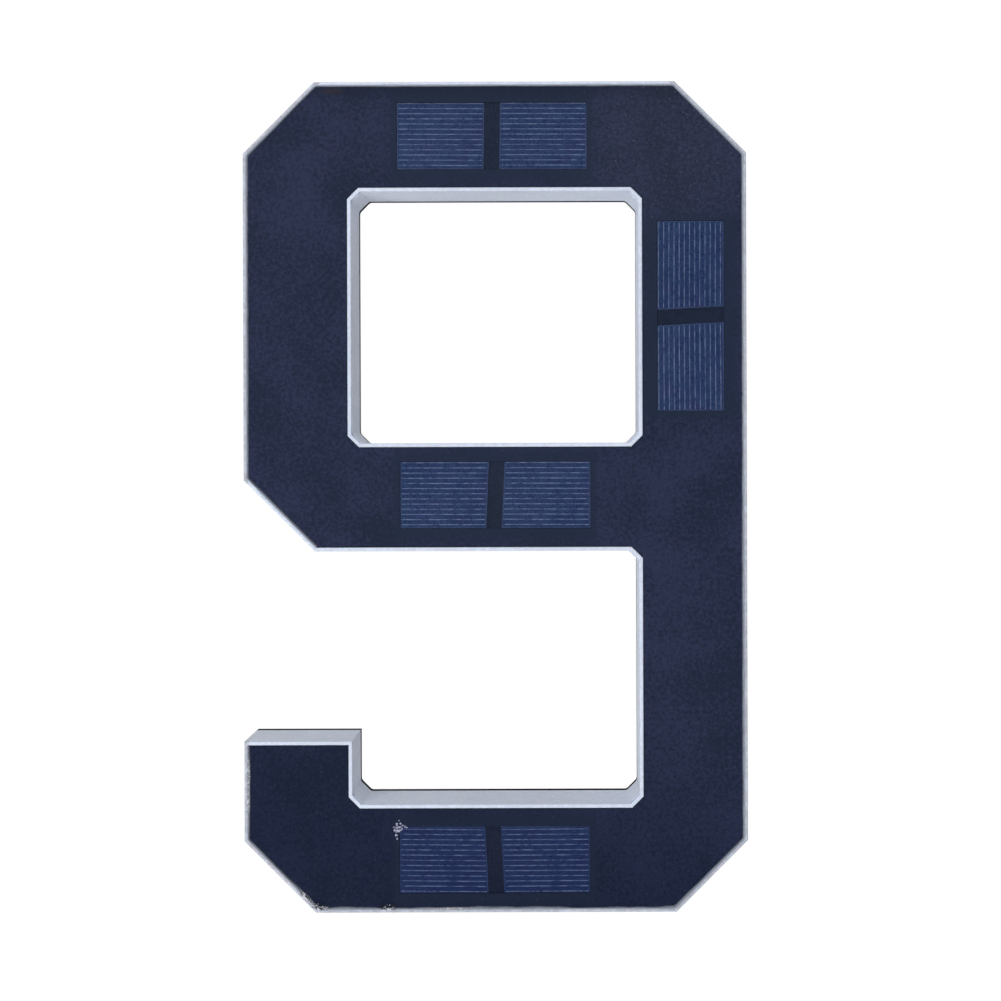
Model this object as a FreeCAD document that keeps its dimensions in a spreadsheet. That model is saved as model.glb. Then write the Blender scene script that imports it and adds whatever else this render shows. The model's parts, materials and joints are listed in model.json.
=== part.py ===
import FreeCAD, Part
import math
import os

import Sketcher
from FreeCAD import Placement, Rotation, Vector

# A solar house number, the figure 9, as it hangs on a wall.
#
# X runs to the right as it is read, Z runs up, and the face looks along -Y.
# The wall is the plane Y = 0, and its centre behind the middle bar is the origin.
# Every "height" below is a distance in front of the wall.

SIZES = (
    # the figure
    ("sign_height", 250.0, "bottom edge to top edge"),
    ("sign_width", 151.5, "left edge to right edge"),
    ("sign_depth", 25.0, "wall to the front of the rim"),
    ("stroke", 32.5, "width of every bar of the figure"),
    ("tail_height", 51.6, "bottom edge to the top of the tail"),
    ("outer_cut", 21.5, "leg of the cut outer corners"),
    ("window_drop", 0.45, "window's top edge below the top bar's width"),
    ("inner_cut", 2.7, "leg of the cut inner corners of the rim"),
    ("wall_cut", 3.2, "leg of the cut inner corners behind the rim"),
    ("wall_round", 1.5, "rounding where those cuts meet the walls"),
    # the opal housing
    ("wall", 2.0, "side walls"),
    ("web", 1.5, "web behind the panel"),
    ("rim_width", 1.15, "rim round the panel"),
    ("rim_depth", 1.6, "stretch of wall with cut inner corners"),
    ("rim_proud", 0.4, "rim in front of the film"),
    ("rim_round", 0.25, "rounding of the rim's front edges"),
    ("boss_radius", 3.2, "screw bosses of the housing"),
    # the solar laminate
    ("panel_gap", 0.2, "laminate to rim"),
    ("film", 0.3, "front film"),
    ("sheet", 0.3, "encapsulant between the cells"),
    ("cell", 0.25, "thickness of a solar cell"),
    ("board", 1.0, "carrier board of the laminate"),
    ("tape", 0.3, "adhesive sheet under the board"),
    ("tape_inset", 2.0, "tape edge inside the board edge"),
    ("cell_length", 26.2, "long side of a solar cell"),
    ("cell_width", 20.0, "short side of a solar cell"),
    ("pair_gap", 4.8, "between the two cells of a pair"),
    ("cell_room", 2.0, "cells of a pair to the edge of their window in the sheet"),
    ("top_shift", -0.8, "top pair to the middle of its bar, to the right"),
    ("bottom_shift", -0.5, "bottom pair to the middle of its bar, to the right"),
    ("side_shift", -0.5, "side pair to the middle of its bar, to the right"),
    ("middle_rise", 0.6, "middle pair to the middle of its bar, upwards"),
    ("bottom_rise", -0.5, "bottom pair to the middle of its bar, upwards"),
    ("top_slant", 0.8, "degrees that the cut between the top pair leans to the right"),
    ("middle_slant", 2.5, "degrees that the cut between the middle pair leans to the right"),
    ("bottom_slant", -2.8, "degrees that the cut between the bottom pair leans to the right"),
    ("side_slant", 3.0, "degrees that the cut between the side pair rises to the right"),
    ("lead_hole", 3.0, "radius of the hole for the panel leads"),
    # the back plate
    ("plate", 3.0, "back plate"),
    ("plate_round", 0.2, "rounding of the plate's back edges"),
    ("spigot", 3.0, "height of the locating rib"),
    ("spigot_wall", 1.5, "thickness of the locating rib"),
    ("spigot_gap", 0.2, "locating rib to housing wall"),
    ("seal_inset", 0.5, "seal groove to the outside"),
    ("seal_width", 1.0, "seal groove"),
    ("seal_depth", 0.8, "seal groove"),
    ("seal_gap", 0.05, "seal to the side of its groove"),
    # case screws
    ("screw_core", 1.1, "radius of the screw shank"),
    ("screw_length", 10.0, "shank under the head"),
    ("screw_head", 2.4, "radius of the screw head"),
    ("head_height", 1.3, "screw head"),
    ("head_sink", 1.5, "counterbore for the head"),
    ("pilot_gap", 0.05, "shank to its hole"),
    ("pass_gap", 0.3, "shank to the hole in the plate, and head to counterbore"),
    ("tip_room", 1.0, "hole beyond the tip of a screw"),
    ("drive_width", 0.6, "arm of the cross recess"),
    ("drive_reach", 1.4, "centre to the end of an arm"),
    ("drive_depth", 0.8, "cross recess"),
    # keyholes
    ("key_spacing", 76.0, "between the two keyholes"),
    ("key_entry", 4.5, "radius of the round entry"),
    ("key_slot", 2.2, "half width of the slot"),
    ("key_rise", 8.0, "entry centre to the end of the slot"),
    ("cap_room", 0.9, "entry edge to the inside of the cap"),
    ("cap_depth", 6.0, "room for the head of the wall screw"),
    ("cap_wall", 1.2, "wall of the cap"),
    # battery and its well
    ("battery_radius", 7.1, "rechargeable cell"),
    ("battery_length", 50.5, "rechargeable cell with its nub"),
    ("nub_radius", 2.6, "positive nub"),
    ("nub_length", 1.0, "positive nub"),
    ("battery_gap", 0.4, "cell to the sides of the well"),
    ("contact_room", 2.75, "end of the cell to the end of the well"),
    ("well_wall", 1.5, "walls of the well"),
    ("contact_sheet", 0.4, "sheet metal of the contacts"),
    ("contact_size", 9.0, "side of a contact plate"),
    ("tail_width", 2.5, "solder tail of a contact"),
    ("tail_reach", 2.0, "solder tail past the well"),
    ("contact_gap", 0.1, "contact to what it seats against"),
    ("spring_wire", 0.6, "wire of the negative spring"),
    ("spring_turns", 2.0, "turns of the negative spring"),
    ("spring_radius", 3.2, "negative spring"),
    ("dimple_tip", 2.2, "radius of the positive dimple at the cell"),
    ("dimple_base", 3.6, "radius of the positive dimple at its plate"),
    # battery door
    ("door", 2.0, "battery door"),
    ("door_gap", 0.2, "door to its recess"),
    ("door_lap", 3.5, "door past the side of the well opening"),
    ("door_radius", 3.0, "corner of the door"),
    ("door_end", 3.5, "door past the centre of its screw"),
    ("door_boss", 3.0, "radius of a door screw boss"),
    ("door_round", 0.3, "rounding of the door's back edges"),
    ("door_boss_height", 5.0, "door screw boss"),
    ("door_screw_length", 5.0, "door screw shank"),
    ("door_head_height", 1.0, "door screw head"),
    ("door_head_sink", 1.1, "counterbore in the door"),
    ("door_groove", 0.6, "groove for the door seal"),
    ("door_seal_width", 1.2, "door seal"),
    ("door_seal_shy", 0.05, "door seal to the plate"),
    # slide switch
    ("switch_inset", 39.75, "centre of the switch to the right edge"),
    ("switch_travel", 3.0, "travel of the slider"),
    ("knob_length", 3.4, "knob along its travel"),
    ("knob_width", 2.6, "knob across its travel"),
    ("knob_sink", 0.3, "knob below the back of the plate"),
    ("slider_gap", 0.2, "slider to its slot and track"),
    ("slider_shoe", 1.5, "shoe of the slider inside the switch"),
    ("shoe_lap", 0.8, "shoe past the knob all round"),
    ("recess_depth", 1.6, "finger recess"),
    ("recess_room", 3.5, "slot end to the end of the finger recess"),
    ("switch_wall", 1.6, "walls of the switch"),
    ("switch_height", 5.5, "switch in front of the plate"),
    ("grip_width", 0.4, "grip groove in the knob"),
    # controller
    ("controller_x", -24.0, "centre of the board from the centre line"),
    ("controller_length", 34.0, "board along the bar"),
    ("controller_width", 20.0, "board across the bar"),
    ("controller_thick", 1.2, "board"),
    ("post_height", 2.5, "posts under the board"),
    ("post_radius", 2.2, "posts under the board"),
    ("post_inset", 3.0, "post centre to the edges of the board"),
    ("post_screw_core", 0.8, "radius of a board screw"),
    ("post_screw_length", 3.6, "board screw shank"),
    ("post_screw_head", 1.7, "radius of a board screw head"),
    ("chip_length", 5.0, "driver chip"),
    ("chip_width", 4.0, "driver chip"),
    ("chip_height", 1.6, "driver chip"),
    ("inductor_radius", 3.0, "inductor"),
    ("inductor_height", 4.0, "inductor"),
    ("capacitor_radius", 2.5, "capacitor"),
    ("capacitor_height", 7.0, "capacitor"),
    ("resistor_length", 2.0, "chip resistor"),
    ("resistor_width", 1.25, "chip resistor"),
    ("resistor_height", 0.5, "chip resistor"),
    ("resistor_pitch", 2.6, "between chip resistors"),
    ("chip_room", 1.0, "driver chip to its neighbours"),
    ("panel_lead_inset", 9.0, "panel leads to the right end of the board"),
    # light strips
    ("strip_width", 8.0, "light strip"),
    ("strip_thick", 0.4, "light strip"),
    ("strip_end", 8.0, "strip end to the first light"),
    ("strip_room", 3.0, "strip end to its neighbours"),
    ("led_pitch", 16.0, "between the lights of a strip"),
    ("led_length", 3.5, "light"),
    ("led_width", 2.8, "light"),
    ("led_height", 0.8, "light"),
    # leads
    ("lead_radius", 0.6, "insulated lead"),
    ("lead_spacing", 3.0, "between the two panel leads"),
    ("lead_bend", 6.0, "largest bend of a lead"),
    ("strip_lead_height", 9.5, "height of the strip leads"),
    ("switch_lead_height", 12.0, "height of the switch lead"),
    ("battery_lead_height", 15.0, "height of the battery leads"),
    ("lead_step", 3.0, "between the heights of the battery leads"),
    ("lead_inset", 3.2, "lead to the inside of a side wall"),
    ("lead_tip", 1.5, "lead to the end of its strip"),
)

document = FreeCAD.newDocument("house_number")
sheet = document.addObject("Spreadsheet::Sheet", "dims")
for row, (alias, size, meaning) in enumerate(SIZES, start=1):
    sheet.set(f"A{row}", alias)
    sheet.set(f"B{row}", str(size))
    sheet.set(f"C{row}", meaning)
    sheet.setAlias(f"B{row}", alias)
document.recompute()


def value(expression):
    """The number that an expression over the sheet gives."""
    return float(sheet.evalExpression(expression))


# Places that several pieces share, as expressions over the sheet.
HALF_WIDTH = "(dims.sign_width / 2)"
HALF_HEIGHT = "(dims.sign_height / 2)"
SIDE_BAR = f"({HALF_WIDTH} - dims.stroke / 2)"
END_BAR = f"({HALF_HEIGHT} - dims.stroke / 2)"
BAY_CENTRE = f"(({HALF_HEIGHT} - dims.stroke / 2) / 2)"
TAIL_TOP = f"(dims.tail_height - {HALF_HEIGHT})"
# A line set in by one unit shortens the leg of a cut corner by this much.
CUT_LOSS = "(2 - sqrt(2))"

# Heights of the layers, counted back from the front of the rim.
FILM_FRONT = "(dims.sign_depth - dims.rim_proud)"
FILM_BACK = f"({FILM_FRONT} - dims.film)"
BOARD_FRONT = f"({FILM_BACK} - dims.sheet)"
BOARD_BACK = f"({BOARD_FRONT} - dims.board)"
WEB_FRONT = f"({BOARD_BACK} - dims.tape)"
WEB_BACK = f"({WEB_FRONT} - dims.web)"
PANEL_INSET = "(dims.rim_width + dims.panel_gap)"

pieces = []
pockets = []


def keep(piece, label):
    """Names a finished sub-part and puts it on the list of pieces."""
    piece.Label = label
    pieces.append(piece)
    return piece


# ---------------------------------------------------------------- sketches and features


def new_body(name):
    return document.addObject("PartDesign::Body", name)


def face_sketch(body, height="0"):
    """A sketch parallel to the wall, whose normal points to the front."""
    plane = next(item for item in body.Origin.OriginFeatures if item.Role == "XZ_Plane")
    sketch = body.newObject("Sketcher::SketchObject", f"{body.Name}_sketch")
    sketch.AttachmentSupport = [(plane, "")]
    sketch.MapMode = "FlatFace"
    sketch.setExpression("AttachmentOffset.Base.z", height)
    return sketch


def tie(sketch, kind, geometry, point, expression):
    """Ties one coordinate of a sketch point to the sheet."""
    constraint = Sketcher.Constraint(kind, -1, 1, geometry, point, value(expression))
    number = sketch.addConstraint(constraint)
    sketch.setExpression(f"Constraints[{number}]", expression)


def draw_outline(sketch, corners):
    """A closed run of straight lines through corners given as expressions."""
    first = sketch.GeometryCount
    spots = [Vector(value(x), value(z), 0) for x, z in corners]
    for start, end in zip(spots, spots[1:] + spots[:1]):
        sketch.addGeometry(Part.LineSegment(start, end))
    for index, (x, z) in enumerate(corners):
        line = first + index
        following = first + (index + 1) % len(corners)
        sketch.addConstraint(Sketcher.Constraint("Coincident", line, 2, following, 1))
        tie(sketch, "DistanceX", line, 1, x)
        tie(sketch, "DistanceY", line, 1, z)


def draw_circle(sketch, x, z, radius):
    circle = Part.Circle(Vector(value(x), value(z), 0), Vector(0, 0, 1), value(radius))
    number = sketch.addGeometry(circle)
    tie(sketch, "DistanceX", number, 3, x)
    tie(sketch, "DistanceY", number, 3, z)
    constraint = sketch.addConstraint(Sketcher.Constraint("Radius", number, value(radius)))
    sketch.setExpression(f"Constraints[{constraint}]", radius)


def draw_box(sketch, x, z, width, tall):
    """A rectangle centred at (x, z)."""
    left, right = f"{x} - ({width}) / 2", f"{x} + ({width}) / 2"
    bottom, top = f"{z} - ({tall}) / 2", f"{z} + ({tall}) / 2"
    draw_outline(sketch, [(left, bottom), (right, bottom), (right, top), (left, top)])


def add_pad(body, sketch, length):
    pad = body.newObject("PartDesign::Pad", f"{body.Name}_pad")
    pad.Profile = sketch
    pad.setExpression("Length", length)
    sketch.Visibility = False
    return pad


def cut_pocket(body, sketch, depth, forward=False):
    """A pocket from the sketch towards the wall, or towards the front when forward."""
    pocket = body.newObject("PartDesign::Pocket", f"{body.Name}_pocket")
    pocket.Profile = sketch
    pocket.Reversed = forward
    pocket.setExpression("Length", depth)
    sketch.Visibility = False
    pockets.append(pocket)
    return pocket


def round_edges(body, base, spots, radius):
    """Rounds the edges of base that run front to back through the given spots."""
    document.recompute()
    names = []
    for x, z in spots:
        spot = Vector(value(x), 0, value(z))
        for number, edge in enumerate(base.Shape.Edges, start=1):
            start, end = edge.Vertexes[0].Point, edge.Vertexes[-1].Point
            across = math.hypot(start.x - end.x, start.z - end.z)
            off = math.hypot(start.x - spot.x, start.z - spot.z)
            if across < 1e-6 and off < 1e-6:
                names.append(f"Edge{number}")
    fillet = body.newObject("PartDesign::Fillet", f"{body.Name}_fillet")
    fillet.Base = (base, names)
    fillet.setExpression("Radius", radius)
    return fillet


def round_face(body, height, radius):
    """Rounds the edges of the body's tip that lie at the given height."""
    document.recompute()
    base = body.Tip
    level = -value(height)
    names = [
        f"Edge{number}"
        for number, edge in enumerate(base.Shape.Edges, start=1)
        if abs(edge.BoundBox.YMin - level) < 1e-6 and abs(edge.BoundBox.YMax - level) < 1e-6
    ]
    fillet = body.newObject("PartDesign::Fillet", f"{body.Name}_fillet")
    fillet.Base = (base, names)
    fillet.setExpression("Radius", radius)
    return fillet


# ---------------------------------------------------------------- the figure's outline


def bay_edge(inset, inner_cut):
    """Ends of the three 45 degree cuts in the bay's inner corners, set in by inset."""
    tail_side = f"(-{HALF_WIDTH} + dims.stroke - {inset})"
    bay_side = f"({HALF_WIDTH} - dims.stroke + {inset})"
    bay_floor = f"(-{HALF_HEIGHT} + dims.stroke - {inset})"
    bay_roof = f"(-dims.stroke / 2 + {inset})"
    leg = f"({inner_cut} + {CUT_LOSS} * {inset})"
    return [
        (tail_side, f"{bay_floor} + {leg}"),
        (f"{tail_side} + {leg}", bay_floor),
        (f"{bay_side} - {leg}", bay_floor),
        (bay_side, f"{bay_floor} + {leg}"),
        (bay_side, f"{bay_roof} - {leg}"),
        (f"{bay_side} - {leg}", bay_roof),
    ]


def figure_edge(inset, inner_cut):
    """Corners of the figure's outer edge, set in by inset.

    Its corners are cut at 45 degrees, the inner ones with a leg of inner_cut.
    """
    left, right = f"(-{HALF_WIDTH} + {inset})", f"({HALF_WIDTH} - {inset})"
    bottom, top = f"(-{HALF_HEIGHT} + {inset})", f"({HALF_HEIGHT} - {inset})"
    tail_side = f"(-{HALF_WIDTH} + dims.stroke - {inset})"
    bay_roof = f"(-dims.stroke / 2 + {inset})"
    tail_top = f"({TAIL_TOP} - {inset})"
    cut = f"(dims.outer_cut - {CUT_LOSS} * {inset})"
    return [
        (left, f"{top} - {cut}"),
        (f"{left} + {cut}", top),
        (f"{right} - {cut}", top),
        (right, f"{top} - {cut}"),
        (right, f"{bottom} + {cut}"),
        (f"{right} - {cut}", bottom),
        (f"{left} + {cut}", bottom),
        (left, f"{bottom} + {cut}"),
        (left, tail_top),
        (tail_side, tail_top),
        *bay_edge(inset, inner_cut),
        (f"{left} + {cut}", bay_roof),
        (left, f"{bay_roof} + {cut}"),
    ]


def window_edge(inset, inner_cut):
    """Corners of the figure's window, grown by inset, cut as above."""
    side = f"({HALF_WIDTH} - dims.stroke + {inset})"
    bottom = f"(dims.stroke / 2 - {inset})"
    top = f"({HALF_HEIGHT} - dims.stroke - dims.window_drop + {inset})"
    leg = f"({inner_cut} + {CUT_LOSS} * {inset})"
    return [
        (f"-{side} + {leg}", bottom),
        (f"{side} - {leg}", bottom),
        (side, f"{bottom} + {leg}"),
        (side, f"{top} - {leg}"),
        (f"{side} - {leg}", top),
        (f"-{side} + {leg}", top),
        (f"-{side}", f"{top} - {leg}"),
        (f"-{side}", f"{bottom} + {leg}"),
    ]


def figure_sketch(body, height, inset, inner_cut="dims.inner_cut"):
    """The whole figure, with its window, set in by inset from every edge."""
    sketch = face_sketch(body, height)
    draw_outline(sketch, figure_edge(inset, inner_cut))
    draw_outline(sketch, window_edge(inset, inner_cut))
    return sketch


def rounded_figure(body, height, depth):
    """A slab in the figure's shape, with the ends of its inner cuts rounded."""
    pad = add_pad(body, figure_sketch(body, height, "0", "dims.wall_cut"), depth)
    spots = bay_edge("0", "dims.wall_cut") + window_edge("0", "dims.wall_cut")
    return round_edges(body, pad, spots, "dims.wall_round")


# ---------------------------------------------------------------- opal housing

CAVITY = f"({WEB_BACK} - dims.plate)"
SCREW_SPOTS = [
    (f"{side}{SIDE_BAR}", end)
    for side in ("-", "")
    for end in (END_BAR, "0", f"-{END_BAR}")
]
PANEL_LEAD_X = "(dims.controller_x + dims.controller_length / 2 - dims.panel_lead_inset)"
PANEL_LEAD_Z = "(dims.controller_width / 4)"
PILOT = "(dims.screw_core + dims.pilot_gap)"
PILOT_DEPTH = "(dims.screw_length - (dims.plate - dims.head_sink) + dims.tip_room)"
DOOR_PILOT_DEPTH = (
    "(dims.door_screw_length - (dims.door - dims.door_head_sink) + dims.tip_room)"
)


def make_housing():
    body = new_body("opal_housing")
    wall_depth = "dims.sign_depth - dims.plate - dims.rim_depth"
    rounded_figure(body, "dims.plate", wall_depth)
    rim_back = "dims.sign_depth - dims.rim_depth"
    add_pad(body, figure_sketch(body, rim_back, "0"), "dims.rim_depth")
    seat = figure_sketch(body, "dims.sign_depth", "dims.rim_width")
    cut_pocket(body, seat, f"dims.sign_depth - {WEB_FRONT}")
    round_face(body, "dims.sign_depth", "dims.rim_round")
    hollow = figure_sketch(body, "dims.plate", "dims.wall")
    cut_pocket(body, hollow, CAVITY, forward=True)
    bosses = face_sketch(body, "dims.plate")
    for x, z in SCREW_SPOTS:
        draw_circle(bosses, x, z, "dims.boss_radius")
    add_pad(body, bosses, CAVITY)
    pilots = face_sketch(body, "dims.plate")
    for x, z in SCREW_SPOTS:
        draw_circle(pilots, x, z, PILOT)
    cut_pocket(body, pilots, PILOT_DEPTH, forward=True)
    lead_hole = face_sketch(body, WEB_FRONT)
    draw_circle(lead_hole, PANEL_LEAD_X, PANEL_LEAD_Z, "dims.lead_hole")
    cut_pocket(body, lead_hole, "dims.web")
    return keep(body, "opal_housing")


# ---------------------------------------------------------------- solar laminate

PAIR_STEP = "((dims.cell_length + dims.pair_gap) / 2)"


def pair_spots():
    """Name, ends, centre and lie of each pair of cells: one on every bar used."""
    ends = ("left", "right")
    yield "top", ends, "dims.top_shift", END_BAR, True
    yield "middle", ends, "0", "dims.middle_rise", True
    yield "bottom", ends, "dims.bottom_shift", f"(dims.bottom_rise - {END_BAR})", True
    yield "side", ("lower", "upper"), f"({SIDE_BAR} + dims.side_shift)", BAY_CENTRE, False


def make_cell(name, x, z, lies, side, slant):
    """A cell centred at (x, z), whose end towards the other cell of its pair is slanted.

    side is the sign of its outer end along the bar, and lies is true on a level bar.
    """
    end, edge = f"({side}dims.cell_length / 2)", "(dims.cell_width / 2)"
    lean = f"({edge} * tan({slant}))"
    corners = [
        (end, edge),
        (end, f"-{edge}"),
        (f"(-{end} - {lean})", f"-{edge}"),
        (f"(-{end} + {lean})", edge),
    ]
    body = new_body(name)
    outline = face_sketch(body, BOARD_FRONT)
    if lies:
        draw_outline(outline, [(f"{x} + {along}", f"{z} + {across}") for along, across in corners])
    else:
        draw_outline(outline, [(f"{x} + {across}", f"{z} + {along}") for along, across in corners])
    add_pad(body, outline, "dims.cell")
    keep(body, name)


def place_block(name, x, z, height, width, tall, depth):
    """A plain block centred at (x, z) that stands out from height by depth."""
    block = document.addObject("Part::Box", name)
    block.setExpression("Length", width)
    block.setExpression("Width", depth)
    block.setExpression("Height", tall)
    block.setExpression("Placement.Base.x", f"{x} - ({width}) / 2")
    block.setExpression("Placement.Base.y", f"-({height} + {depth})")
    block.setExpression("Placement.Base.z", f"{z} - ({tall}) / 2")
    return block


def place_rod(name, x, z, height, radius, depth):
    """A round rod that stands out from height by depth."""
    rod = document.addObject("Part::Cylinder", name)
    rod.setExpression("Radius", radius)
    rod.setExpression("Height", depth)
    rod.Placement = Placement(Vector(), Rotation(Vector(1, 0, 0), 90))
    rod.setExpression("Placement.Base.x", x)
    rod.setExpression("Placement.Base.y", f"-({height})")
    rod.setExpression("Placement.Base.z", z)
    return rod


def make_laminate():
    film = new_body("panel_film")
    add_pad(film, figure_sketch(film, FILM_BACK, PANEL_INSET), "dims.film")
    keep(film, "panel_film")

    filler = new_body("encapsulant_sheet")
    add_pad(filler, figure_sketch(filler, BOARD_FRONT, PANEL_INSET), "dims.sheet")
    windows = face_sketch(filler, FILM_BACK)
    room = "2 * dims.cell_room"
    for pair, ends, x, z, lies in pair_spots():
        for end, side in zip(ends, "-+"):
            cell_x = f"({x} {side} {PAIR_STEP})" if lies else x
            cell_z = z if lies else f"({z} {side} {PAIR_STEP})"
            name = f"solar_cell_{pair}_{end}"
            make_cell(name, cell_x, cell_z, lies, side, f"dims.{pair}_slant")
        sides = (f"2 * {PAIR_STEP} + dims.cell_length + {room}", f"dims.cell_width + {room}")
        width, tall = sides if lies else sides[::-1]
        draw_box(windows, x, z, width, tall)
    cut_pocket(filler, windows, "dims.sheet")
    keep(filler, "encapsulant_sheet")

    carrier = new_body("panel_board")
    add_pad(carrier, figure_sketch(carrier, BOARD_BACK, PANEL_INSET), "dims.board")
    keep(carrier, "panel_board")

    tape = new_body("panel_tape")
    inset = f"({PANEL_INSET} + dims.tape_inset)"
    add_pad(tape, figure_sketch(tape, WEB_FRONT, inset), "dims.tape")
    lead_hole = face_sketch(tape, BOARD_BACK)
    draw_circle(lead_hole, PANEL_LEAD_X, PANEL_LEAD_Z, "dims.lead_hole")
    cut_pocket(tape, lead_hole, "dims.tape")
    keep(tape, "panel_tape")


# ---------------------------------------------------------------- back plate

WELL_X = SIDE_BAR
WELL_Z = f"(-{BAY_CENTRE})"
WELL_WIDTH = "(2 * (dims.battery_radius + dims.battery_gap))"
WELL_LENGTH = "(dims.battery_length + 2 * dims.contact_room)"
BATTERY_HEIGHT = "(dims.door + dims.battery_gap + dims.battery_radius)"
WELL_FLOOR = f"({BATTERY_HEIGHT} + dims.battery_radius + dims.battery_gap)"
DOOR_SCREW_STEP = f"({WELL_LENGTH} / 2 + dims.well_wall + dims.door_boss)"
DOOR_WIDTH = f"({WELL_WIDTH} + 2 * dims.door_lap)"
DOOR_LENGTH = f"(2 * ({DOOR_SCREW_STEP} + dims.door_end))"
DOOR_SCREW_SPOTS = [(WELL_X, f"({WELL_Z} + {sign}{DOOR_SCREW_STEP})") for sign in ("", "-")]
KEY_SPOTS = [(f"({sign}dims.key_spacing / 2)", f"({END_BAR} - dims.key_rise / 2)") for sign in "-+"]
SWITCH_X = f"({HALF_WIDTH} - dims.switch_inset)"
SWITCH_Z = f"(-{END_BAR})"
SLOT_LENGTH = "(dims.knob_length + dims.switch_travel + 2 * dims.slider_gap)"
SLOT_WIDTH = "(dims.knob_width + 2 * dims.slider_gap)"
POST_X = "(dims.controller_length / 2 - dims.post_inset)"
POST_Z = "(dims.controller_width / 2 - dims.post_inset)"
POST_SPOTS = [
    (f"(dims.controller_x - {POST_X})", POST_Z),
    (f"(dims.controller_x + {POST_X})", f"(-{POST_Z})"),
]
TAIL_HEIGHT = BATTERY_HEIGHT


def draw_rings(sketch, inset, width):
    """Two bands of the given width that follow the outer edge and the window."""
    for offset in (inset, f"({inset} + {width})"):
        draw_outline(sketch, figure_edge(offset, "dims.inner_cut"))
        draw_outline(sketch, window_edge(offset, "dims.inner_cut"))


def make_plate():
    body = new_body("back_plate")
    rounded_figure(body, "0", "dims.plate")
    round_face(body, "0", "dims.plate_round")

    well = face_sketch(body, "dims.plate")
    wall = "2 * dims.well_wall"
    draw_box(well, WELL_X, WELL_Z, f"{WELL_WIDTH} + {wall}", f"{WELL_LENGTH} + {wall}")
    add_pad(body, well, f"{WELL_FLOOR} + dims.well_wall - dims.plate")
    bosses = face_sketch(body, "dims.plate")
    for x, z in DOOR_SCREW_SPOTS:
        draw_circle(bosses, x, z, "dims.door_boss")
    add_pad(body, bosses, "dims.door_boss_height")
    posts = face_sketch(body, "dims.plate")
    for x, z in POST_SPOTS:
        draw_circle(posts, x, z, "dims.post_radius")
    add_pad(body, posts, "dims.post_height")

    hollow = face_sketch(body)
    draw_box(hollow, WELL_X, WELL_Z, WELL_WIDTH, WELL_LENGTH)
    cut_pocket(body, hollow, WELL_FLOOR, forward=True)
    door_seat = face_sketch(body)
    gap = "2 * dims.door_gap"
    draw_box(door_seat, WELL_X, WELL_Z, f"{DOOR_WIDTH} + {gap}", f"{DOOR_LENGTH} + {gap}")
    cut_pocket(body, door_seat, "dims.door", forward=True)
    tail_slots = face_sketch(body, f"{TAIL_HEIGHT} - dims.contact_sheet / 2 - dims.contact_gap")
    slot_width = "dims.tail_width + 2 * dims.contact_gap"
    slot_length = f"{WELL_LENGTH} + {wall} + dims.tail_reach"
    draw_box(tail_slots, WELL_X, WELL_Z, slot_width, slot_length)
    slot_depth = "dims.contact_sheet + 2 * dims.contact_gap"
    cut_pocket(body, tail_slots, slot_depth, forward=True)

    door_pilots = face_sketch(body, "dims.door")
    for x, z in DOOR_SCREW_SPOTS:
        draw_circle(door_pilots, x, z, PILOT)
    cut_pocket(body, door_pilots, DOOR_PILOT_DEPTH, forward=True)
    post_pilots = face_sketch(body, "dims.plate + dims.post_height")
    for x, z in POST_SPOTS:
        draw_circle(post_pilots, x, z, "dims.post_screw_core + dims.pilot_gap")
    cut_pocket(body, post_pilots, "dims.post_screw_length - dims.controller_thick + dims.pass_gap")

    sinks = face_sketch(body)
    through = face_sketch(body)
    for x, z in SCREW_SPOTS:
        draw_circle(sinks, x, z, "dims.screw_head + dims.pass_gap")
        draw_circle(through, x, z, "dims.screw_core + dims.pass_gap")
    recess = face_sketch(body)
    room = "2 * dims.recess_room"
    draw_box(recess, SWITCH_X, SWITCH_Z, f"{SLOT_LENGTH} + {room}", f"{SLOT_WIDTH} + {room}")
    draw_box(through, SWITCH_X, SWITCH_Z, SLOT_LENGTH, SLOT_WIDTH)
    slots = face_sketch(body)
    slot_ends = face_sketch(body)
    for x, z in KEY_SPOTS:
        draw_circle(through, x, z, "dims.key_entry")
        draw_box(slots, x, f"({z} + dims.key_rise / 2)", "2 * dims.key_slot", "dims.key_rise")
        draw_circle(slot_ends, x, f"{z} + dims.key_rise", "dims.key_slot")
    cut_pocket(body, sinks, "dims.head_sink", forward=True)
    cut_pocket(body, recess, "dims.recess_depth", forward=True)
    for sketch in (through, slots, slot_ends):
        cut_pocket(body, sketch, "dims.plate", forward=True)

    rib = face_sketch(body, "dims.plate")
    draw_rings(rib, "(dims.wall + dims.spigot_gap)", "dims.spigot_wall")
    add_pad(body, rib, "dims.spigot")
    groove = face_sketch(body, "dims.plate")
    draw_rings(groove, "dims.seal_inset", "dims.seal_width")
    cut_pocket(body, groove, "dims.seal_depth")
    return keep(body, "back_plate")


def make_seals():
    for name, edge in (("outer_seal", figure_edge), ("window_seal", window_edge)):
        body = new_body(name)
        ring = face_sketch(body, "dims.plate - dims.seal_depth")
        inset = "(dims.seal_inset + dims.seal_gap)"
        width = "(dims.seal_width - 2 * dims.seal_gap)"
        draw_outline(ring, edge(inset, "dims.inner_cut"))
        draw_outline(ring, edge(f"({inset} + {width})", "dims.inner_cut"))
        add_pad(body, ring, "dims.seal_depth")
        keep(body, name)


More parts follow.
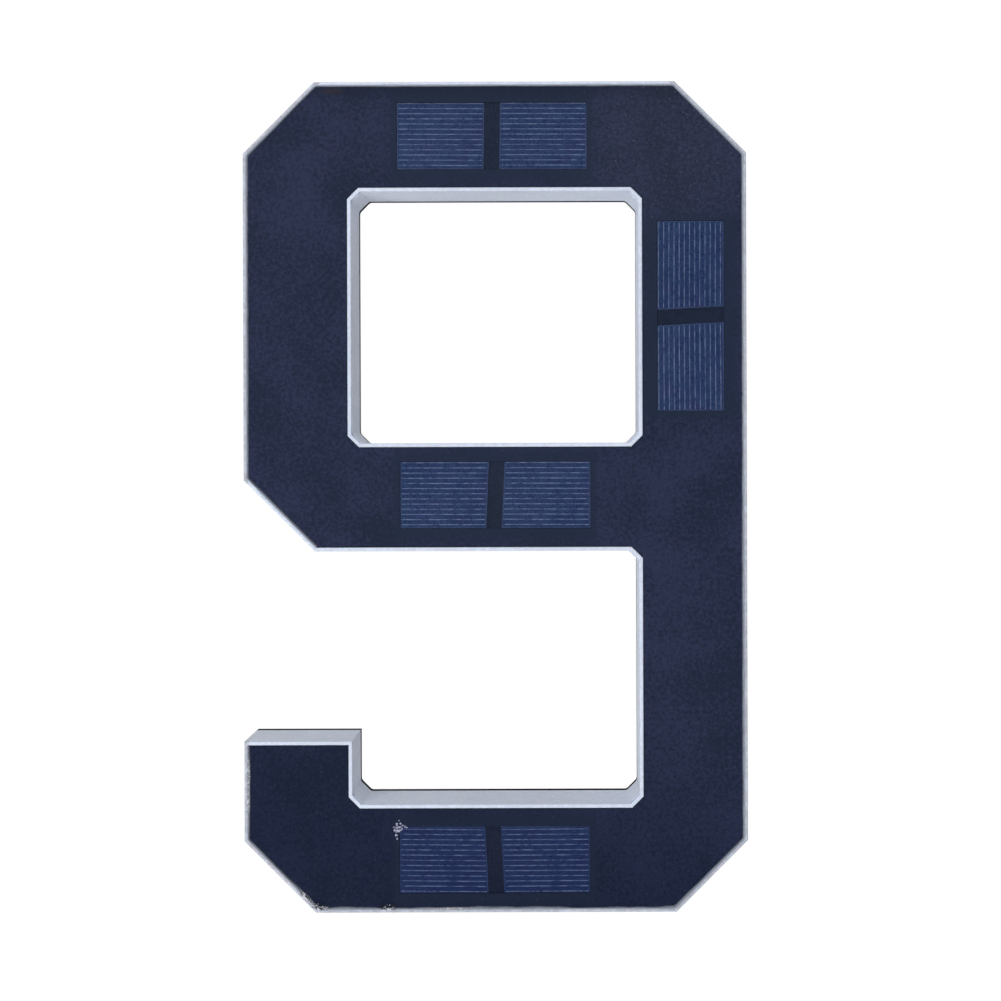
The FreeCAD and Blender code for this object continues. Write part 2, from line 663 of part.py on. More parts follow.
def make_keyhole_caps():
    """Two box-shaped caps that close the keyholes off from the inside."""
    body = new_body("keyhole_caps")
    body.AllowCompound = True
    room = "2 * (dims.key_entry + dims.cap_room)"
    wall = "2 * dims.cap_wall"
    shells = face_sketch(body, "dims.plate")
    rooms = face_sketch(body, "dims.plate")
    for x, z in KEY_SPOTS:
        middle = f"({z} + dims.key_rise / 2)"
        draw_box(shells, x, middle, f"{room} + {wall}", f"{room} + {wall} + dims.key_rise")
        draw_box(rooms, x, middle, room, f"{room} + dims.key_rise")
    add_pad(body, shells, "dims.cap_depth + dims.cap_wall")
    cut_pocket(body, rooms, "dims.cap_depth", forward=True)
    return keep(body, "keyhole_caps")


# ---------------------------------------------------------------- screws


def screw_shape(head_radius, head, core, length):
    """A cross-recess screw along -Y: its head's outer face at Y = 0, its shank beyond."""
    profile = [
        Vector(0, 0, 0),
        Vector(head_radius, 0, 0),
        Vector(head_radius, -head, 0),
        Vector(core, -head, 0),
        Vector(core, core - head - length, 0),
        Vector(0, -head - length, 0),
    ]
    outline = Part.Face(Part.makePolygon(profile + profile[:1]))
    screw = outline.revolve(Vector(), Vector(0, 1, 0), 360)
    reach = min(value("dims.drive_reach"), head_radius * 0.6)
    width, depth = value("dims.drive_width"), value("dims.drive_depth")
    for along, across in ((reach, width / 2), (width / 2, reach)):
        corner = Vector(-along, -depth, -across)
        screw = screw.cut(Part.makeBox(2 * along, depth, 2 * across, corner))
    return screw


def place_screws(label, screw, spots, height, back_to_front=True):
    """Identical screws in one group, their heads' outer faces at the given height."""
    turn = Rotation() if back_to_front else Rotation(Vector(1, 0, 0), 180)
    copies = []
    for x, z in spots:
        spot = Placement(Vector(value(x), -value(height), value(z)), turn)
        copies.append(screw.transformed(spot.toMatrix(), True))
    group = document.addObject("Part::Feature", label)
    group.Shape = Part.makeCompound(copies)
    return keep(group, label)


def make_screws():
    core = value("dims.screw_core")
    case_screw = screw_shape(
        value("dims.screw_head"), value("dims.head_height"), core, value("dims.screw_length")
    )
    place_screws("case_screws", case_screw, SCREW_SPOTS, "dims.head_sink - dims.head_height")
    door_screw = screw_shape(
        value("dims.screw_head"),
        value("dims.door_head_height"),
        core,
        value("dims.door_screw_length"),
    )
    door_head = "dims.door_head_sink - dims.door_head_height"
    place_screws("door_screws", door_screw, DOOR_SCREW_SPOTS, door_head)
    board_screw = screw_shape(
        value("dims.post_screw_head"),
        value("dims.door_head_height"),
        value("dims.post_screw_core"),
        value("dims.post_screw_length"),
    )
    front = f"{CONTROLLER_FRONT} + dims.door_head_height"
    place_screws("board_screws", board_screw, POST_SPOTS, front, back_to_front=False)


# ---------------------------------------------------------------- battery and door


def make_battery():
    case = document.addObject("Part::Cylinder", "battery_case")
    case.setExpression("Radius", "dims.battery_radius")
    case.setExpression("Height", "dims.battery_length - dims.nub_length")
    case.setExpression("Placement.Base.z", f"{WELL_Z} - dims.battery_length / 2")
    nub = document.addObject("Part::Cylinder", "battery_nub")
    nub.setExpression("Radius", "dims.nub_radius")
    nub.setExpression("Height", "dims.nub_length")
    nub.setExpression(
        "Placement.Base.z", f"{WELL_Z} + dims.battery_length / 2 - dims.nub_length"
    )
    for piece in (case, nub):
        piece.setExpression("Placement.Base.x", WELL_X)
        piece.setExpression("Placement.Base.y", f"-{BATTERY_HEIGHT}")
    battery = document.addObject("Part::MultiFuse", "battery")
    battery.Shapes = [case, nub]
    return keep(battery, "battery")


def contact_plate(name, sign):
    """The sheet-metal part of a contact against an end of the well, with its solder tail."""
    end = f"({WELL_Z} {sign} {WELL_LENGTH} / 2)"
    plate_z = f"({end} {'-' if sign == '+' else '+'} dims.contact_sheet / 2)"
    low = f"({BATTERY_HEIGHT} - dims.contact_size / 2)"
    flat = place_block(
        f"{name}_flat", WELL_X, plate_z, low, "dims.contact_size", "dims.contact_sheet",
        "dims.contact_size",
    )
    reach = "(dims.well_wall + dims.tail_reach)"
    tail_z = f"({end} {sign} {reach} / 2)"
    tail_low = f"({TAIL_HEIGHT} - dims.contact_sheet / 2)"
    tail = place_block(
        f"{name}_tail", WELL_X, tail_z, tail_low, "dims.tail_width", reach, "dims.contact_sheet"
    )
    return [flat, tail]


def make_contacts():
    plus_parts = contact_plate("contact_plus", "+")
    dimple = document.addObject("Part::Cone", "contact_plus_dimple")
    dimple.setExpression("Radius1", "dims.dimple_tip")
    dimple.setExpression("Radius2", "dims.dimple_base")
    dimple.setExpression("Height", "dims.contact_room - dims.contact_sheet - dims.contact_gap")
    dimple.setExpression("Placement.Base.x", WELL_X)
    dimple.setExpression("Placement.Base.y", f"-{BATTERY_HEIGHT}")
    dimple.setExpression(
        "Placement.Base.z", f"{WELL_Z} + dims.battery_length / 2 + dims.contact_gap"
    )
    plus = document.addObject("Part::MultiFuse", "contact_plus")
    plus.Shapes = plus_parts + [dimple]
    keep(plus, "contact_plus")

    minus_parts = contact_plate("contact_minus", "-")
    wire, radius = value("dims.spring_wire") / 2, value("dims.spring_radius")
    # The wire starts half sunk in the plate and ends short of the cell.
    plate_end = value(f"{WELL_Z} - {WELL_LENGTH} / 2 + dims.contact_sheet")
    cell_end = value(f"{WELL_Z} - dims.battery_length / 2 - dims.contact_gap") - wire
    rise = cell_end - plate_end
    path = Part.makeHelix(rise / value("dims.spring_turns"), rise, radius)
    section = Part.Wire(Part.makeCircle(wire, Vector(radius, 0, 0), Vector(0, 1, 0)))
    coil = Part.Wire(path.Edges).makePipeShell([section], True, True)
    coil.translate(Vector(value(WELL_X), -value(BATTERY_HEIGHT), plate_end))
    spring = document.addObject("Part::Feature", "contact_minus_spring")
    spring.Shape = coil
    minus = document.addObject("Part::MultiFuse", "contact_minus")
    minus.Shapes = minus_parts + [spring]
    keep(minus, "contact_minus")


def make_door():
    body = new_body("battery_door")
    slab = face_sketch(body)
    draw_box(slab, WELL_X, WELL_Z, DOOR_WIDTH, DOOR_LENGTH)
    pad = add_pad(body, slab, "dims.door")
    corners = [
        (f"{WELL_X} {side} {DOOR_WIDTH} / 2", f"{WELL_Z} {end} {DOOR_LENGTH} / 2")
        for side in "+-"
        for end in "+-"
    ]
    round_edges(body, pad, corners, "dims.door_radius")
    round_face(body, "0", "dims.door_round")
    sinks = face_sketch(body)
    holes = face_sketch(body)
    for x, z in DOOR_SCREW_SPOTS:
        draw_circle(sinks, x, z, "dims.screw_head + dims.pass_gap")
        draw_circle(holes, x, z, "dims.screw_core + dims.pass_gap")
    cut_pocket(body, sinks, "dims.door_head_sink", forward=True)
    cut_pocket(body, holes, "dims.door", forward=True)
    groove = face_sketch(body, "dims.door")
    draw_seal_ring(groove, "0")
    cut_pocket(body, groove, "dims.door_groove")
    keep(body, "battery_door")

    seal = new_body("door_seal")
    ring = face_sketch(seal, "dims.door - dims.door_groove")
    draw_seal_ring(ring, "dims.seal_gap")
    add_pad(seal, ring, "dims.door_groove - dims.door_seal_shy")
    keep(seal, "door_seal")


def draw_seal_ring(sketch, gap):
    """A rectangular band on the ledge round the well opening."""
    for offset in (
        f"(dims.well_wall / 2 + {gap})",
        f"(dims.well_wall / 2 + dims.door_seal_width - {gap})",
    ):
        draw_box(
            sketch, WELL_X, WELL_Z, f"{WELL_WIDTH} + 2 * {offset}", f"{WELL_LENGTH} + 2 * {offset}"
        )


# ---------------------------------------------------------------- slide switch

SHOE_LENGTH = "(dims.knob_length + 2 * dims.shoe_lap)"
SHOE_WIDTH = "(dims.knob_width + 2 * dims.shoe_lap)"
TRACK_LENGTH = f"({SHOE_LENGTH} + dims.switch_travel + 2 * dims.slider_gap)"
TRACK_WIDTH = f"({SHOE_WIDTH} + 2 * dims.slider_gap)"
# The slider rests at the left end of its travel, which is off.
SLIDER_X = f"({SWITCH_X} - dims.switch_travel / 2)"


def make_switch():
    body = new_body("switch_body")
    wall = "2 * dims.switch_wall"
    case = face_sketch(body, "dims.plate")
    draw_box(case, SWITCH_X, SWITCH_Z, f"{TRACK_LENGTH} + {wall}", f"{TRACK_WIDTH} + {wall}")
    add_pad(body, case, "dims.switch_height")
    track = face_sketch(body, "dims.plate")
    draw_box(track, SWITCH_X, SWITCH_Z, TRACK_LENGTH, TRACK_WIDTH)
    cut_pocket(body, track, "dims.slider_shoe + 2 * dims.slider_gap", forward=True)
    keep(body, "switch_body")

    slider = new_body("switch_slider")
    knob = face_sketch(slider, "dims.knob_sink")
    draw_box(knob, SLIDER_X, SWITCH_Z, "dims.knob_length", "dims.knob_width")
    add_pad(slider, knob, "dims.plate + dims.slider_gap - dims.knob_sink")
    shoe = face_sketch(slider, "dims.plate + dims.slider_gap")
    draw_box(shoe, SLIDER_X, SWITCH_Z, SHOE_LENGTH, SHOE_WIDTH)
    add_pad(slider, shoe, "dims.slider_shoe")
    grips = face_sketch(slider, "dims.knob_sink")
    for step in (-1, 0, 1):
        x = f"({SLIDER_X} + {step} * 2 * dims.grip_width)"
        draw_box(grips, x, SWITCH_Z, "dims.grip_width", "dims.knob_width")
    cut_pocket(slider, grips, "dims.grip_width", forward=True)
    keep(slider, "switch_slider")


# ---------------------------------------------------------------- controller

CONTROLLER_BACK = "(dims.plate + dims.post_height)"
CONTROLLER_FRONT = f"({CONTROLLER_BACK} + dims.controller_thick)"
RESISTORS = 4


def make_controller():
    body = new_body("controller_board")
    outline = face_sketch(body, CONTROLLER_BACK)
    draw_box(outline, "dims.controller_x", "0", "dims.controller_length", "dims.controller_width")
    add_pad(body, outline, "dims.controller_thick")
    holes = face_sketch(body, CONTROLLER_FRONT)
    for x, z in POST_SPOTS:
        draw_circle(holes, x, z, "dims.post_screw_core + dims.pass_gap")
    cut_pocket(body, holes, "dims.controller_thick")
    keep(body, "controller_board")

    middle = "dims.controller_x"
    chip = place_block(
        "driver_chip", middle, "0", CONTROLLER_FRONT, "dims.chip_length", "dims.chip_width",
        "dims.chip_height",
    )
    keep(chip, "driver_chip")
    beside = "(dims.chip_length / 2 + dims.inductor_radius + dims.chip_room)"
    inductor = place_rod(
        "power_inductor", f"{middle} - {beside}", f"-{POST_Z} / 2", CONTROLLER_FRONT,
        "dims.inductor_radius", "dims.inductor_height",
    )
    keep(inductor, "power_inductor")
    above = "(dims.chip_width / 2 + dims.capacitor_radius + dims.chip_room)"
    capacitor = place_rod(
        "smoothing_capacitor", middle, above, CONTROLLER_FRONT,
        "dims.capacitor_radius", "dims.capacitor_height",
    )
    keep(capacitor, "smoothing_capacitor")
    resistors = []
    for index in range(RESISTORS):
        x = f"({middle} + {index - 1} * dims.resistor_pitch)"
        z = "(-dims.controller_width / 2 + dims.post_inset)"
        resistors.append(
            place_block(
                f"resistor_{index}", x, z, CONTROLLER_FRONT, "dims.resistor_width",
                "dims.resistor_length", "dims.resistor_height",
            )
        )
    group = document.addObject("Part::Compound", "chip_resistors")
    group.Links = resistors
    keep(group, "chip_resistors")


# ---------------------------------------------------------------- light strips

STRIP_TOP = "(dims.plate + dims.strip_thick)"


def strips():
    """Name, centre, number of lights and lie of each light strip."""
    board_right = "(dims.controller_x + dims.controller_length / 2)"
    beside_board = f"({board_right} + dims.strip_room + {strip_length(3)} / 2)"
    switch_left = f"({SWITCH_X} - {TRACK_LENGTH} / 2 - dims.switch_wall)"
    beside_switch = f"({switch_left} - dims.strip_room - {strip_length(4)} / 2)"
    rib_top = f"({TAIL_TOP} - dims.wall - dims.spigot_gap - dims.spigot_wall)"
    below_rib = f"({rib_top} - dims.strip_room - {strip_length(1)} / 2)"
    yield "top", "0", END_BAR, 3, True
    yield "left", f"(-{SIDE_BAR})", BAY_CENTRE, 4, False
    yield "right", SIDE_BAR, BAY_CENTRE, 4, False
    yield "middle", beside_board, "0", 3, True
    yield "bottom", beside_switch, f"(-{END_BAR})", 4, True
    yield "tail", f"(-{SIDE_BAR})", below_rib, 1, False


def strip_length(count):
    return f"({count - 1} * dims.led_pitch + 2 * dims.strip_end)"


def make_strips():
    for name, x, z, count, lies in strips():
        sides = (strip_length(count), "dims.strip_width")
        width, tall = sides if lies else sides[::-1]
        strip = place_block(
            f"led_strip_{name}", x, z, "dims.plate", width, tall, "dims.strip_thick"
        )
        keep(strip, f"led_strip_{name}")
        lights = []
        for index in range(count):
            along = f"{index - (count - 1) / 2} * dims.led_pitch"
            light_x = f"({x} + {along})" if lies else x
            light_z = z if lies else f"({z} + {along})"
            sides = ("dims.led_length", "dims.led_width")
            width, tall = sides if lies else sides[::-1]
            lights.append(
                place_block(
                    f"light_{name}_{index}", light_x, light_z, STRIP_TOP, width, tall,
                    "dims.led_height",
                )
            )
        group = document.addObject("Part::Compound", f"leds_{name}")
        group.Links = lights
        keep(group, f"leds_{name}")


# ---------------------------------------------------------------- leads


def rounded_path(points, bend):
    """Straight runs through the points, joined by tangent arcs no wider than bend."""
    edges = []
    start = points[0]
    radii = []
    for before, corner, after in zip(points, points[1:], points[2:]):
        back, ahead = before - corner, after - corner
        turn = math.pi - back.getAngle(ahead)
        cut = min(0.45 * min(back.Length, ahead.Length), bend * math.tan(turn / 2))
        radii.append(cut / math.tan(turn / 2))
        back.normalize()
        ahead.normalize()
        arc_start, arc_end = corner + back * cut, corner + ahead * cut
        bisector = (back + ahead).normalize()
        centre = corner + bisector * (cut / math.sin(turn / 2))
        arc_middle = centre - bisector * radii[-1]
        edges.append(Part.LineSegment(start, arc_start).toShape())
        edges.append(Part.Arc(arc_start, arc_middle, arc_end).toShape())
        start = arc_end
    edges.append(Part.LineSegment(start, points[-1]).toShape())
    return Part.Wire(edges), radii


def make_lead(label, route):
    """A round lead along a route of (x, height, z) expressions."""
    points = [Vector(value(x), -value(height), value(z)) for x, height, z in route]
    path, radii = rounded_path(points, value("dims.lead_bend"))
    radius = value("dims.lead_radius")
    section = Part.Wire(Part.makeCircle(radius, points[0], points[1] - points[0]))
    tube = path.makePipeShell([section], True, False)
    share = tube.Volume / (math.pi * radius**2 * path.Length)
    print(f"{label}: {path.Length:.0f} mm, least bend {min(radii):.1f} mm, volume {share:.3f}")
    lead = document.addObject("Part::Feature", label)
    lead.Shape = tube
    return keep(lead, label)


def make_leads():
    front = CONTROLLER_FRONT
    low, mid, high = (
        "dims.strip_lead_height", "dims.switch_lead_height", "dims.battery_lead_height"
    )
    board_left = "(dims.controller_x - dims.controller_length / 2)"
    board_right = "(dims.controller_x + dims.controller_length / 2)"
    tips = {}
    for name, x, z, count, lies in strips():
        reach = f"({strip_length(count)} / 2 - dims.lead_tip)"
        middle = x if lies else z
        tips[name] = (f"({middle} - {reach})", f"({middle} + {reach})")
    # Lanes between the side walls and what stands near them.
    lane_x = f"({SIDE_BAR} - dims.stroke / 2 + dims.wall + dims.lead_inset)"
    far_lane_x = f"({SIDE_BAR} + dims.stroke / 2 - dims.wall - dims.lead_inset)"
    floor_lane_z = f"(-{END_BAR} + dims.stroke / 2 - dims.wall - dims.lead_inset)"
    cap_lane_z = f"({END_BAR} - dims.stroke / 2 + dims.wall + dims.lead_inset / 2)"
    cap_reach = "(dims.key_entry + dims.cap_room + dims.cap_wall)"
    past_cap = f"(dims.key_spacing / 2 + {cap_reach} + dims.lead_inset)"
    before_cap = f"(dims.key_spacing / 2 - {cap_reach} - dims.lead_inset)"

    start_x, end_z = f"({board_left} + 2)", tips["left"][0]
    make_lead(
        "led_lead_left",
        [
            (start_x, front, "0"),
            (start_x, low, "0"),
            (f"(-{SIDE_BAR} + 8)", low, f"({end_z} - 12)"),
            (f"(-{SIDE_BAR})", low, end_z),
            (f"(-{SIDE_BAR})", STRIP_TOP, end_z),
        ],
    )
    for name, sign in (("top", "-"), ("right", "")):
        start_z, end_x = tips["left"][1], f"({sign}{tips['top'][1]})"
        make_lead(
            f"led_lead_{name}",
            [
                (f"({sign}{SIDE_BAR})", STRIP_TOP, start_z),
                (f"({sign}{SIDE_BAR})", low, start_z),
                (f"({sign}{past_cap})", low, cap_lane_z),
                (f"({sign}{before_cap})", low, cap_lane_z),
                (end_x, low, END_BAR),
                (end_x, STRIP_TOP, END_BAR),
            ],
        )
    middle_start, middle_end = tips["middle"]
    make_lead(
        "led_lead_middle",
        [
            (f"({board_right} - 2)", front, "3"),
            (f"({board_right} - 2)", low, "3"),
            (middle_start, low, "0"),
            (middle_start, STRIP_TOP, "0"),
        ],
    )
    bottom_start, bottom_end = tips["bottom"]
    make_lead(
        "led_lead_bottom",
        [
            (middle_end, STRIP_TOP, "0"),
            (middle_end, low, "0"),
            (lane_x, low, "(-dims.stroke / 2)"),
            (lane_x, low, floor_lane_z),
            (f"({bottom_end} + 8)", low, f"({floor_lane_z} - 1)"),
            (bottom_end, low, SWITCH_Z),
            (bottom_end, STRIP_TOP, SWITCH_Z),
        ],
    )
    tail_end = tips["tail"][0]
    make_lead(
        "led_lead_tail",
        [
            (bottom_start, STRIP_TOP, SWITCH_Z),
            (bottom_start, low, SWITCH_Z),
            (f"(-{SIDE_BAR} + 9)", low, f"({tail_end} - 6)"),
            (f"(-{SIDE_BAR})", low, tail_end),
            (f"(-{SIDE_BAR})", STRIP_TOP, tail_end),
        ],
    )
    make_lead(
        "switch_lead",
        [
            (SWITCH_X, "dims.plate + dims.switch_height", SWITCH_Z),
            (SWITCH_X, mid, SWITCH_Z),
            (lane_x, mid, floor_lane_z),
            (lane_x, mid, "(-dims.stroke / 2)"),
            (middle_end, mid, "4"),
            (f"({board_right} + 3)", mid, "6"),
            (f"({board_right} - 5)", mid, "8"),
            (f"({board_right} - 5)", front, "8"),
        ],
    )
    plus_tip = f"({WELL_Z} + {WELL_LENGTH} / 2 + dims.well_wall + dims.tail_reach)"
    minus_tip = f"({WELL_Z} - {WELL_LENGTH} / 2 - dims.well_wall - dims.tail_reach)"
    make_lead(
        "battery_lead_red",
        [
            (WELL_X, TAIL_HEIGHT, plus_tip),
            (WELL_X, TAIL_HEIGHT, f"({plus_tip} + 4)"),
            (f"({WELL_X} - 8)", high, "-8"),
            (middle_end, high, "-2"),
            (f"({board_right} + 3)", high, "-1"),
            (f"({board_right} - 9)", high, "-3"),
            (f"({board_right} - 9)", front, "-3"),
        ],
    )
    higher = f"({high} + dims.lead_step)"
    make_lead(
        "battery_lead_black",
        [
            (WELL_X, TAIL_HEIGHT, minus_tip),
            (WELL_X, TAIL_HEIGHT, f"({minus_tip} - 4)"),
            (f"({far_lane_x} - 3)", mid, f"({minus_tip} - 5)"),
            (far_lane_x, high, f"({minus_tip} + 4)"),
            (far_lane_x, high, f"({plus_tip} + 1)"),
            (WELL_X, higher, "-9"),
            (middle_end, higher, "-6"),
            (f"({board_right} + 3)", higher, "-5"),
            (f"({board_right} - 7)", higher, "-7"),
            (f"({board_right} - 7)", front, "-7"),
        ],
    )
    for name, side in (("red", "-"), ("black", "+")):
        x = f"({PANEL_LEAD_X} {side} dims.lead_spacing / 2)"
        make_lead(
            f"panel_lead_{name}",
            [
                (x, BOARD_BACK, PANEL_LEAD_Z),
                (x, f"({WEB_BACK} - 2)", PANEL_LEAD_Z),
                (x, f"({front} + 5)", f"({PANEL_LEAD_Z} - 3)"),
                (x, front, f"({PANEL_LEAD_Z} - 3)"),
            ],
        )


make_housing()
make_laminate()
make_plate()
make_seals()
make_keyhole_caps()
make_battery()
make_contacts()
make_door()
make_switch()
make_controller()
make_screws()
make_strips()
make_leads()
document.recompute()

for item in document.Objects:
    if "Invalid" in item.State or "Error" in item.State:
        raise RuntimeError(f"{item.Name} failed: {item.State}")
for pocket in pockets:
    if pocket.Shape.Volume >= pocket.BaseFeature.Shape.Volume:
        raise RuntimeError(f"{pocket.Name} removed nothing")
os.makedirs("parts", exist_ok=True)
for piece in pieces:
    if piece.Shape.isNull() or not piece.Shape.isValid():
        raise RuntimeError(f"{piece.Label} has no valid shape")
    piece.Shape.exportStep(f"parts/{piece.Label}.step")
print(f"{len(pieces)} pieces written")
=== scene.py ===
# %% [markdown]
# # A solar house number, dressed for its portrait
#
# The object is a house number, an angular 9, with a dark solar face, an opal side-lit
# housing and a black back plate. Its solid pieces come from the CAD model, which stays as
# it is. This file gives each one its finish, adds the small soft things that no CAD tool
# would draw, such as glue and sealant, and sets up the light and the camera.
#
# Lengths are in metres. X runs to the right, Z runs up, and the face looks along -Y.

# %% Load the model
import json
import math
from functools import partial

import bmesh
import bpy
import numpy as np
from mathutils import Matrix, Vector


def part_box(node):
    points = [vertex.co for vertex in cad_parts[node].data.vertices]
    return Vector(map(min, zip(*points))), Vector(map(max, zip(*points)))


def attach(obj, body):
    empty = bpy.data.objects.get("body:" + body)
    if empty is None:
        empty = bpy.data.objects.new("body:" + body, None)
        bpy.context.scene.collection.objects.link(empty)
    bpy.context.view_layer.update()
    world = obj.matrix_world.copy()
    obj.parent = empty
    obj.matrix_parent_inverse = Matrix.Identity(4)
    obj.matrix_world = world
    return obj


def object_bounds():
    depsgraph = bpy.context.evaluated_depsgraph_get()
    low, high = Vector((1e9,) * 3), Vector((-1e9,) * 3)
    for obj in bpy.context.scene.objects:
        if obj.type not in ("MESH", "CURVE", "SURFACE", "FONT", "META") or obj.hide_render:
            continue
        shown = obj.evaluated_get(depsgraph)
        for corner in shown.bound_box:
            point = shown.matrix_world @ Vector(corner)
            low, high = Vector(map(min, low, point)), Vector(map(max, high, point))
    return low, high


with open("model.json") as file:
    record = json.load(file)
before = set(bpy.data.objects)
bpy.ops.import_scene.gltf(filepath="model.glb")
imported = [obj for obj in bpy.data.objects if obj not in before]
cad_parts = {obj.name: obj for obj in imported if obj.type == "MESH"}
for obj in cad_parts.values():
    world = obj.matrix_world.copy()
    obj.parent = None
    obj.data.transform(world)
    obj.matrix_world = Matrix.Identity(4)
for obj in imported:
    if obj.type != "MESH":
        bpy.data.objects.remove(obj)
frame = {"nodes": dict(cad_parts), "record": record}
cad_low, cad_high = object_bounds()
nodes = frame["nodes"]
MM = 0.001
# Sizes of the figure that are not the size of any one node.
STROKE = 32.5 * MM
TAIL_HEIGHT = 51.6 * MM
WINDOW_DROP = 0.45 * MM
OUTER_CUT = 21.5 * MM
INNER_CUT = 2.7 * MM
RIM_WIDTH = 1.15 * MM
PANEL_GAP = 0.2 * MM

# %% [markdown]
# The photograph was taken square on, by a lens close enough to show the inner side walls.
# How far the back edges shrink towards one point gives the distance, and that point gives
# where the lens stood. A camera turned towards the object would make the upright edges
# lean, so this one looks straight ahead, and its frame is shifted over the object, as with
# a view camera. The edges also show that it was held a sixth of a degree off level.

# %% Camera
IMAGE_SIZE = 1001
PIXEL = 0.30092 * MM
CENTRE_PIXEL = (495.3, 497.0)
VANISHING_PIXEL = (567.0, 450.0)
DISTANCE = 0.537
ROLL = math.radians(0.17)


def pixel_place(column, row):
    """Where a pixel of the photograph lies on the plane of the rim's front."""
    right, down = column - CENTRE_PIXEL[0], row - CENTRE_PIXEL[1]
    x = right * math.cos(ROLL) - down * math.sin(ROLL)
    z = -right * math.sin(ROLL) - down * math.cos(ROLL)
    return x * PIXEL, z * PIXEL


rim_front = cad_low[1]
lens_x, lens_z = pixel_place(*VANISHING_PIXEL)

camera_data = bpy.data.cameras.new("camera")
camera_data.lens = camera_data.sensor_width * DISTANCE / (IMAGE_SIZE * PIXEL)
camera_data.shift_x = 0.5 - VANISHING_PIXEL[0] / IMAGE_SIZE
camera_data.shift_y = VANISHING_PIXEL[1] / IMAGE_SIZE - 0.5
camera = bpy.data.objects.new("camera", camera_data)
camera.location = (lens_x, rim_front - DISTANCE, lens_z)
camera.rotation_euler = (math.radians(90), ROLL, 0)
bpy.context.scene.collection.objects.link(camera)
bpy.context.scene.camera = camera
print(f"lens {camera_data.lens:.1f} mm, shift {camera_data.shift_x:.3f}, {camera_data.shift_y:.3f}")

# %% [markdown]
# A product like this is photographed between soft boxes. The walls that look to the right
# are the darkest ones, and those that look up, down or to the left are lighter, so here
# two broad lamps stand at the left front, one high and one low. The world is the plain
# light of the room. Together they light a surface so that its colour comes out about as
# it is written.

# %% Lamps
SKY_LEVEL = 0.28
LAMP_SIZE = 0.7


def add_lamp(name, spot, power):
    """A square lamp that faces the middle of the sign."""
    data = bpy.data.lights.new(name, "AREA")
    data.size = LAMP_SIZE
    data.energy = power
    lamp = bpy.data.objects.new(name, data)
    lamp.location = spot
    lamp.rotation_euler = (-Vector(spot)).to_track_quat("-Z", "Y").to_euler()
    bpy.context.scene.collection.objects.link(lamp)


add_lamp("high_lamp", (-0.36, -1.0, 0.62), 6.3)
add_lamp("low_lamp", (-0.36, -1.0, -0.68), 7.5)
bpy.context.scene.view_settings.view_transform = "Standard"
print("lamps:", [lamp.name for lamp in bpy.data.lights])

# %% [markdown]
# A material here is a small tree of nodes. The next helpers place one node with its
# values and links in one call, so that each finish below reads as a recipe. A node goes
# into the same tree as what feeds it. Effects that several finishes share, such as the
# grain of a mould, are node groups with named sockets.

# %% Node helpers


def place(kind, inputs=None, tree=None, **settings):
    """Adds a node. inputs maps its sockets to values, or to the sockets that feed them.

    A node that nothing feeds is told its tree.
    """
    inputs = inputs or {}
    feeds = {name: feed for name, feed in inputs.items() if isinstance(feed, bpy.types.NodeSocket)}
    tree = tree or next(iter(feeds.values())).id_data
    node = tree.nodes.new(kind)
    for name, setting in settings.items():
        setattr(node, name, setting)
    for name, source in inputs.items():
        if name in feeds:
            tree.links.new(source, node.inputs[name])
        else:
            node.inputs[name].default_value = source
    return node


def calculate(operation, *terms):
    """The result of a Math node."""
    return place("ShaderNodeMath", dict(enumerate(terms)), operation=operation).outputs[0]


times, times_plus = partial(calculate, "MULTIPLY"), partial(calculate, "MULTIPLY_ADD")
plus, minus = partial(calculate, "ADD"), partial(calculate, "SUBTRACT")
larger, smaller = partial(calculate, "MAXIMUM"), partial(calculate, "MINIMUM")
absolute = partial(calculate, "ABSOLUTE")


def mix(factor, first, second, blend="MIX"):
    """A colour between first and their blend, which is second itself for MIX."""
    inputs = {0: factor, 6: first, 7: second}
    return place("ShaderNodeMix", inputs, data_type="RGBA", blend_type=blend).outputs[2]


def ramp(source, low, high, to_low=0.0, to_high=1.0):
    """Source taken smoothly from the range low to high into another range."""
    inputs = {"Value": source, 1: low, 2: high, 3: to_low, 4: to_high}
    return place("ShaderNodeMapRange", inputs, interpolation_type="SMOOTHSTEP").outputs[0]


def noise(vector, scale, detail=3.0, roughness=0.55):
    """Cloud noise at a scale in features per unit of vector, about 0.3 to 0.7."""
    inputs = {"Vector": vector, "Scale": scale, "Detail": detail, "Roughness": roughness}
    return place("ShaderNodeTexNoise", inputs).outputs["Fac"]


def cells(vector, scale, output="Distance"):
    """Voronoi cells at a scale in cells per unit of vector."""
    return place("ShaderNodeTexVoronoi", {"Vector": vector, "Scale": scale}).outputs[output]


def distance(vector, spot):
    """How far vector is from a spot, both in millimetres."""
    inputs = {0: vector, 1: spot}
    return place("ShaderNodeVectorMath", inputs, operation="DISTANCE").outputs["Value"]


def split(vector):
    """The X, Y and Z of a vector."""
    return place("ShaderNodeSeparateXYZ", {0: vector}).outputs


def stretched(vector, scale):
    """A vector scaled along each axis. It draws a pattern out where the scale is small."""
    return place("ShaderNodeMapping", {"Vector": vector, "Scale": scale}).outputs[0]


def colour(red, green, blue):
    """A colour given as linear shares, made opaque."""
    return (red, green, blue, 1.0)


def start_group(name, inputs, outputs):
    """A node group with sockets given as {name: (type, default)} and {name: type}."""
    group = bpy.data.node_groups.new(name, "ShaderNodeTree")
    for socket, (kind, default) in inputs.items():
        kind = f"NodeSocket{kind}"
        made = group.interface.new_socket(socket, in_out="INPUT", socket_type=kind)
        if default is not None:
            made.default_value = default
    for socket, kind in outputs.items():
        kind = f"NodeSocket{kind}"
        group.interface.new_socket(socket, in_out="OUTPUT", socket_type=kind)
    start = group.nodes.new("NodeGroupInput").outputs
    end = group.nodes.new("NodeGroupOutput").inputs
    return group, start, end


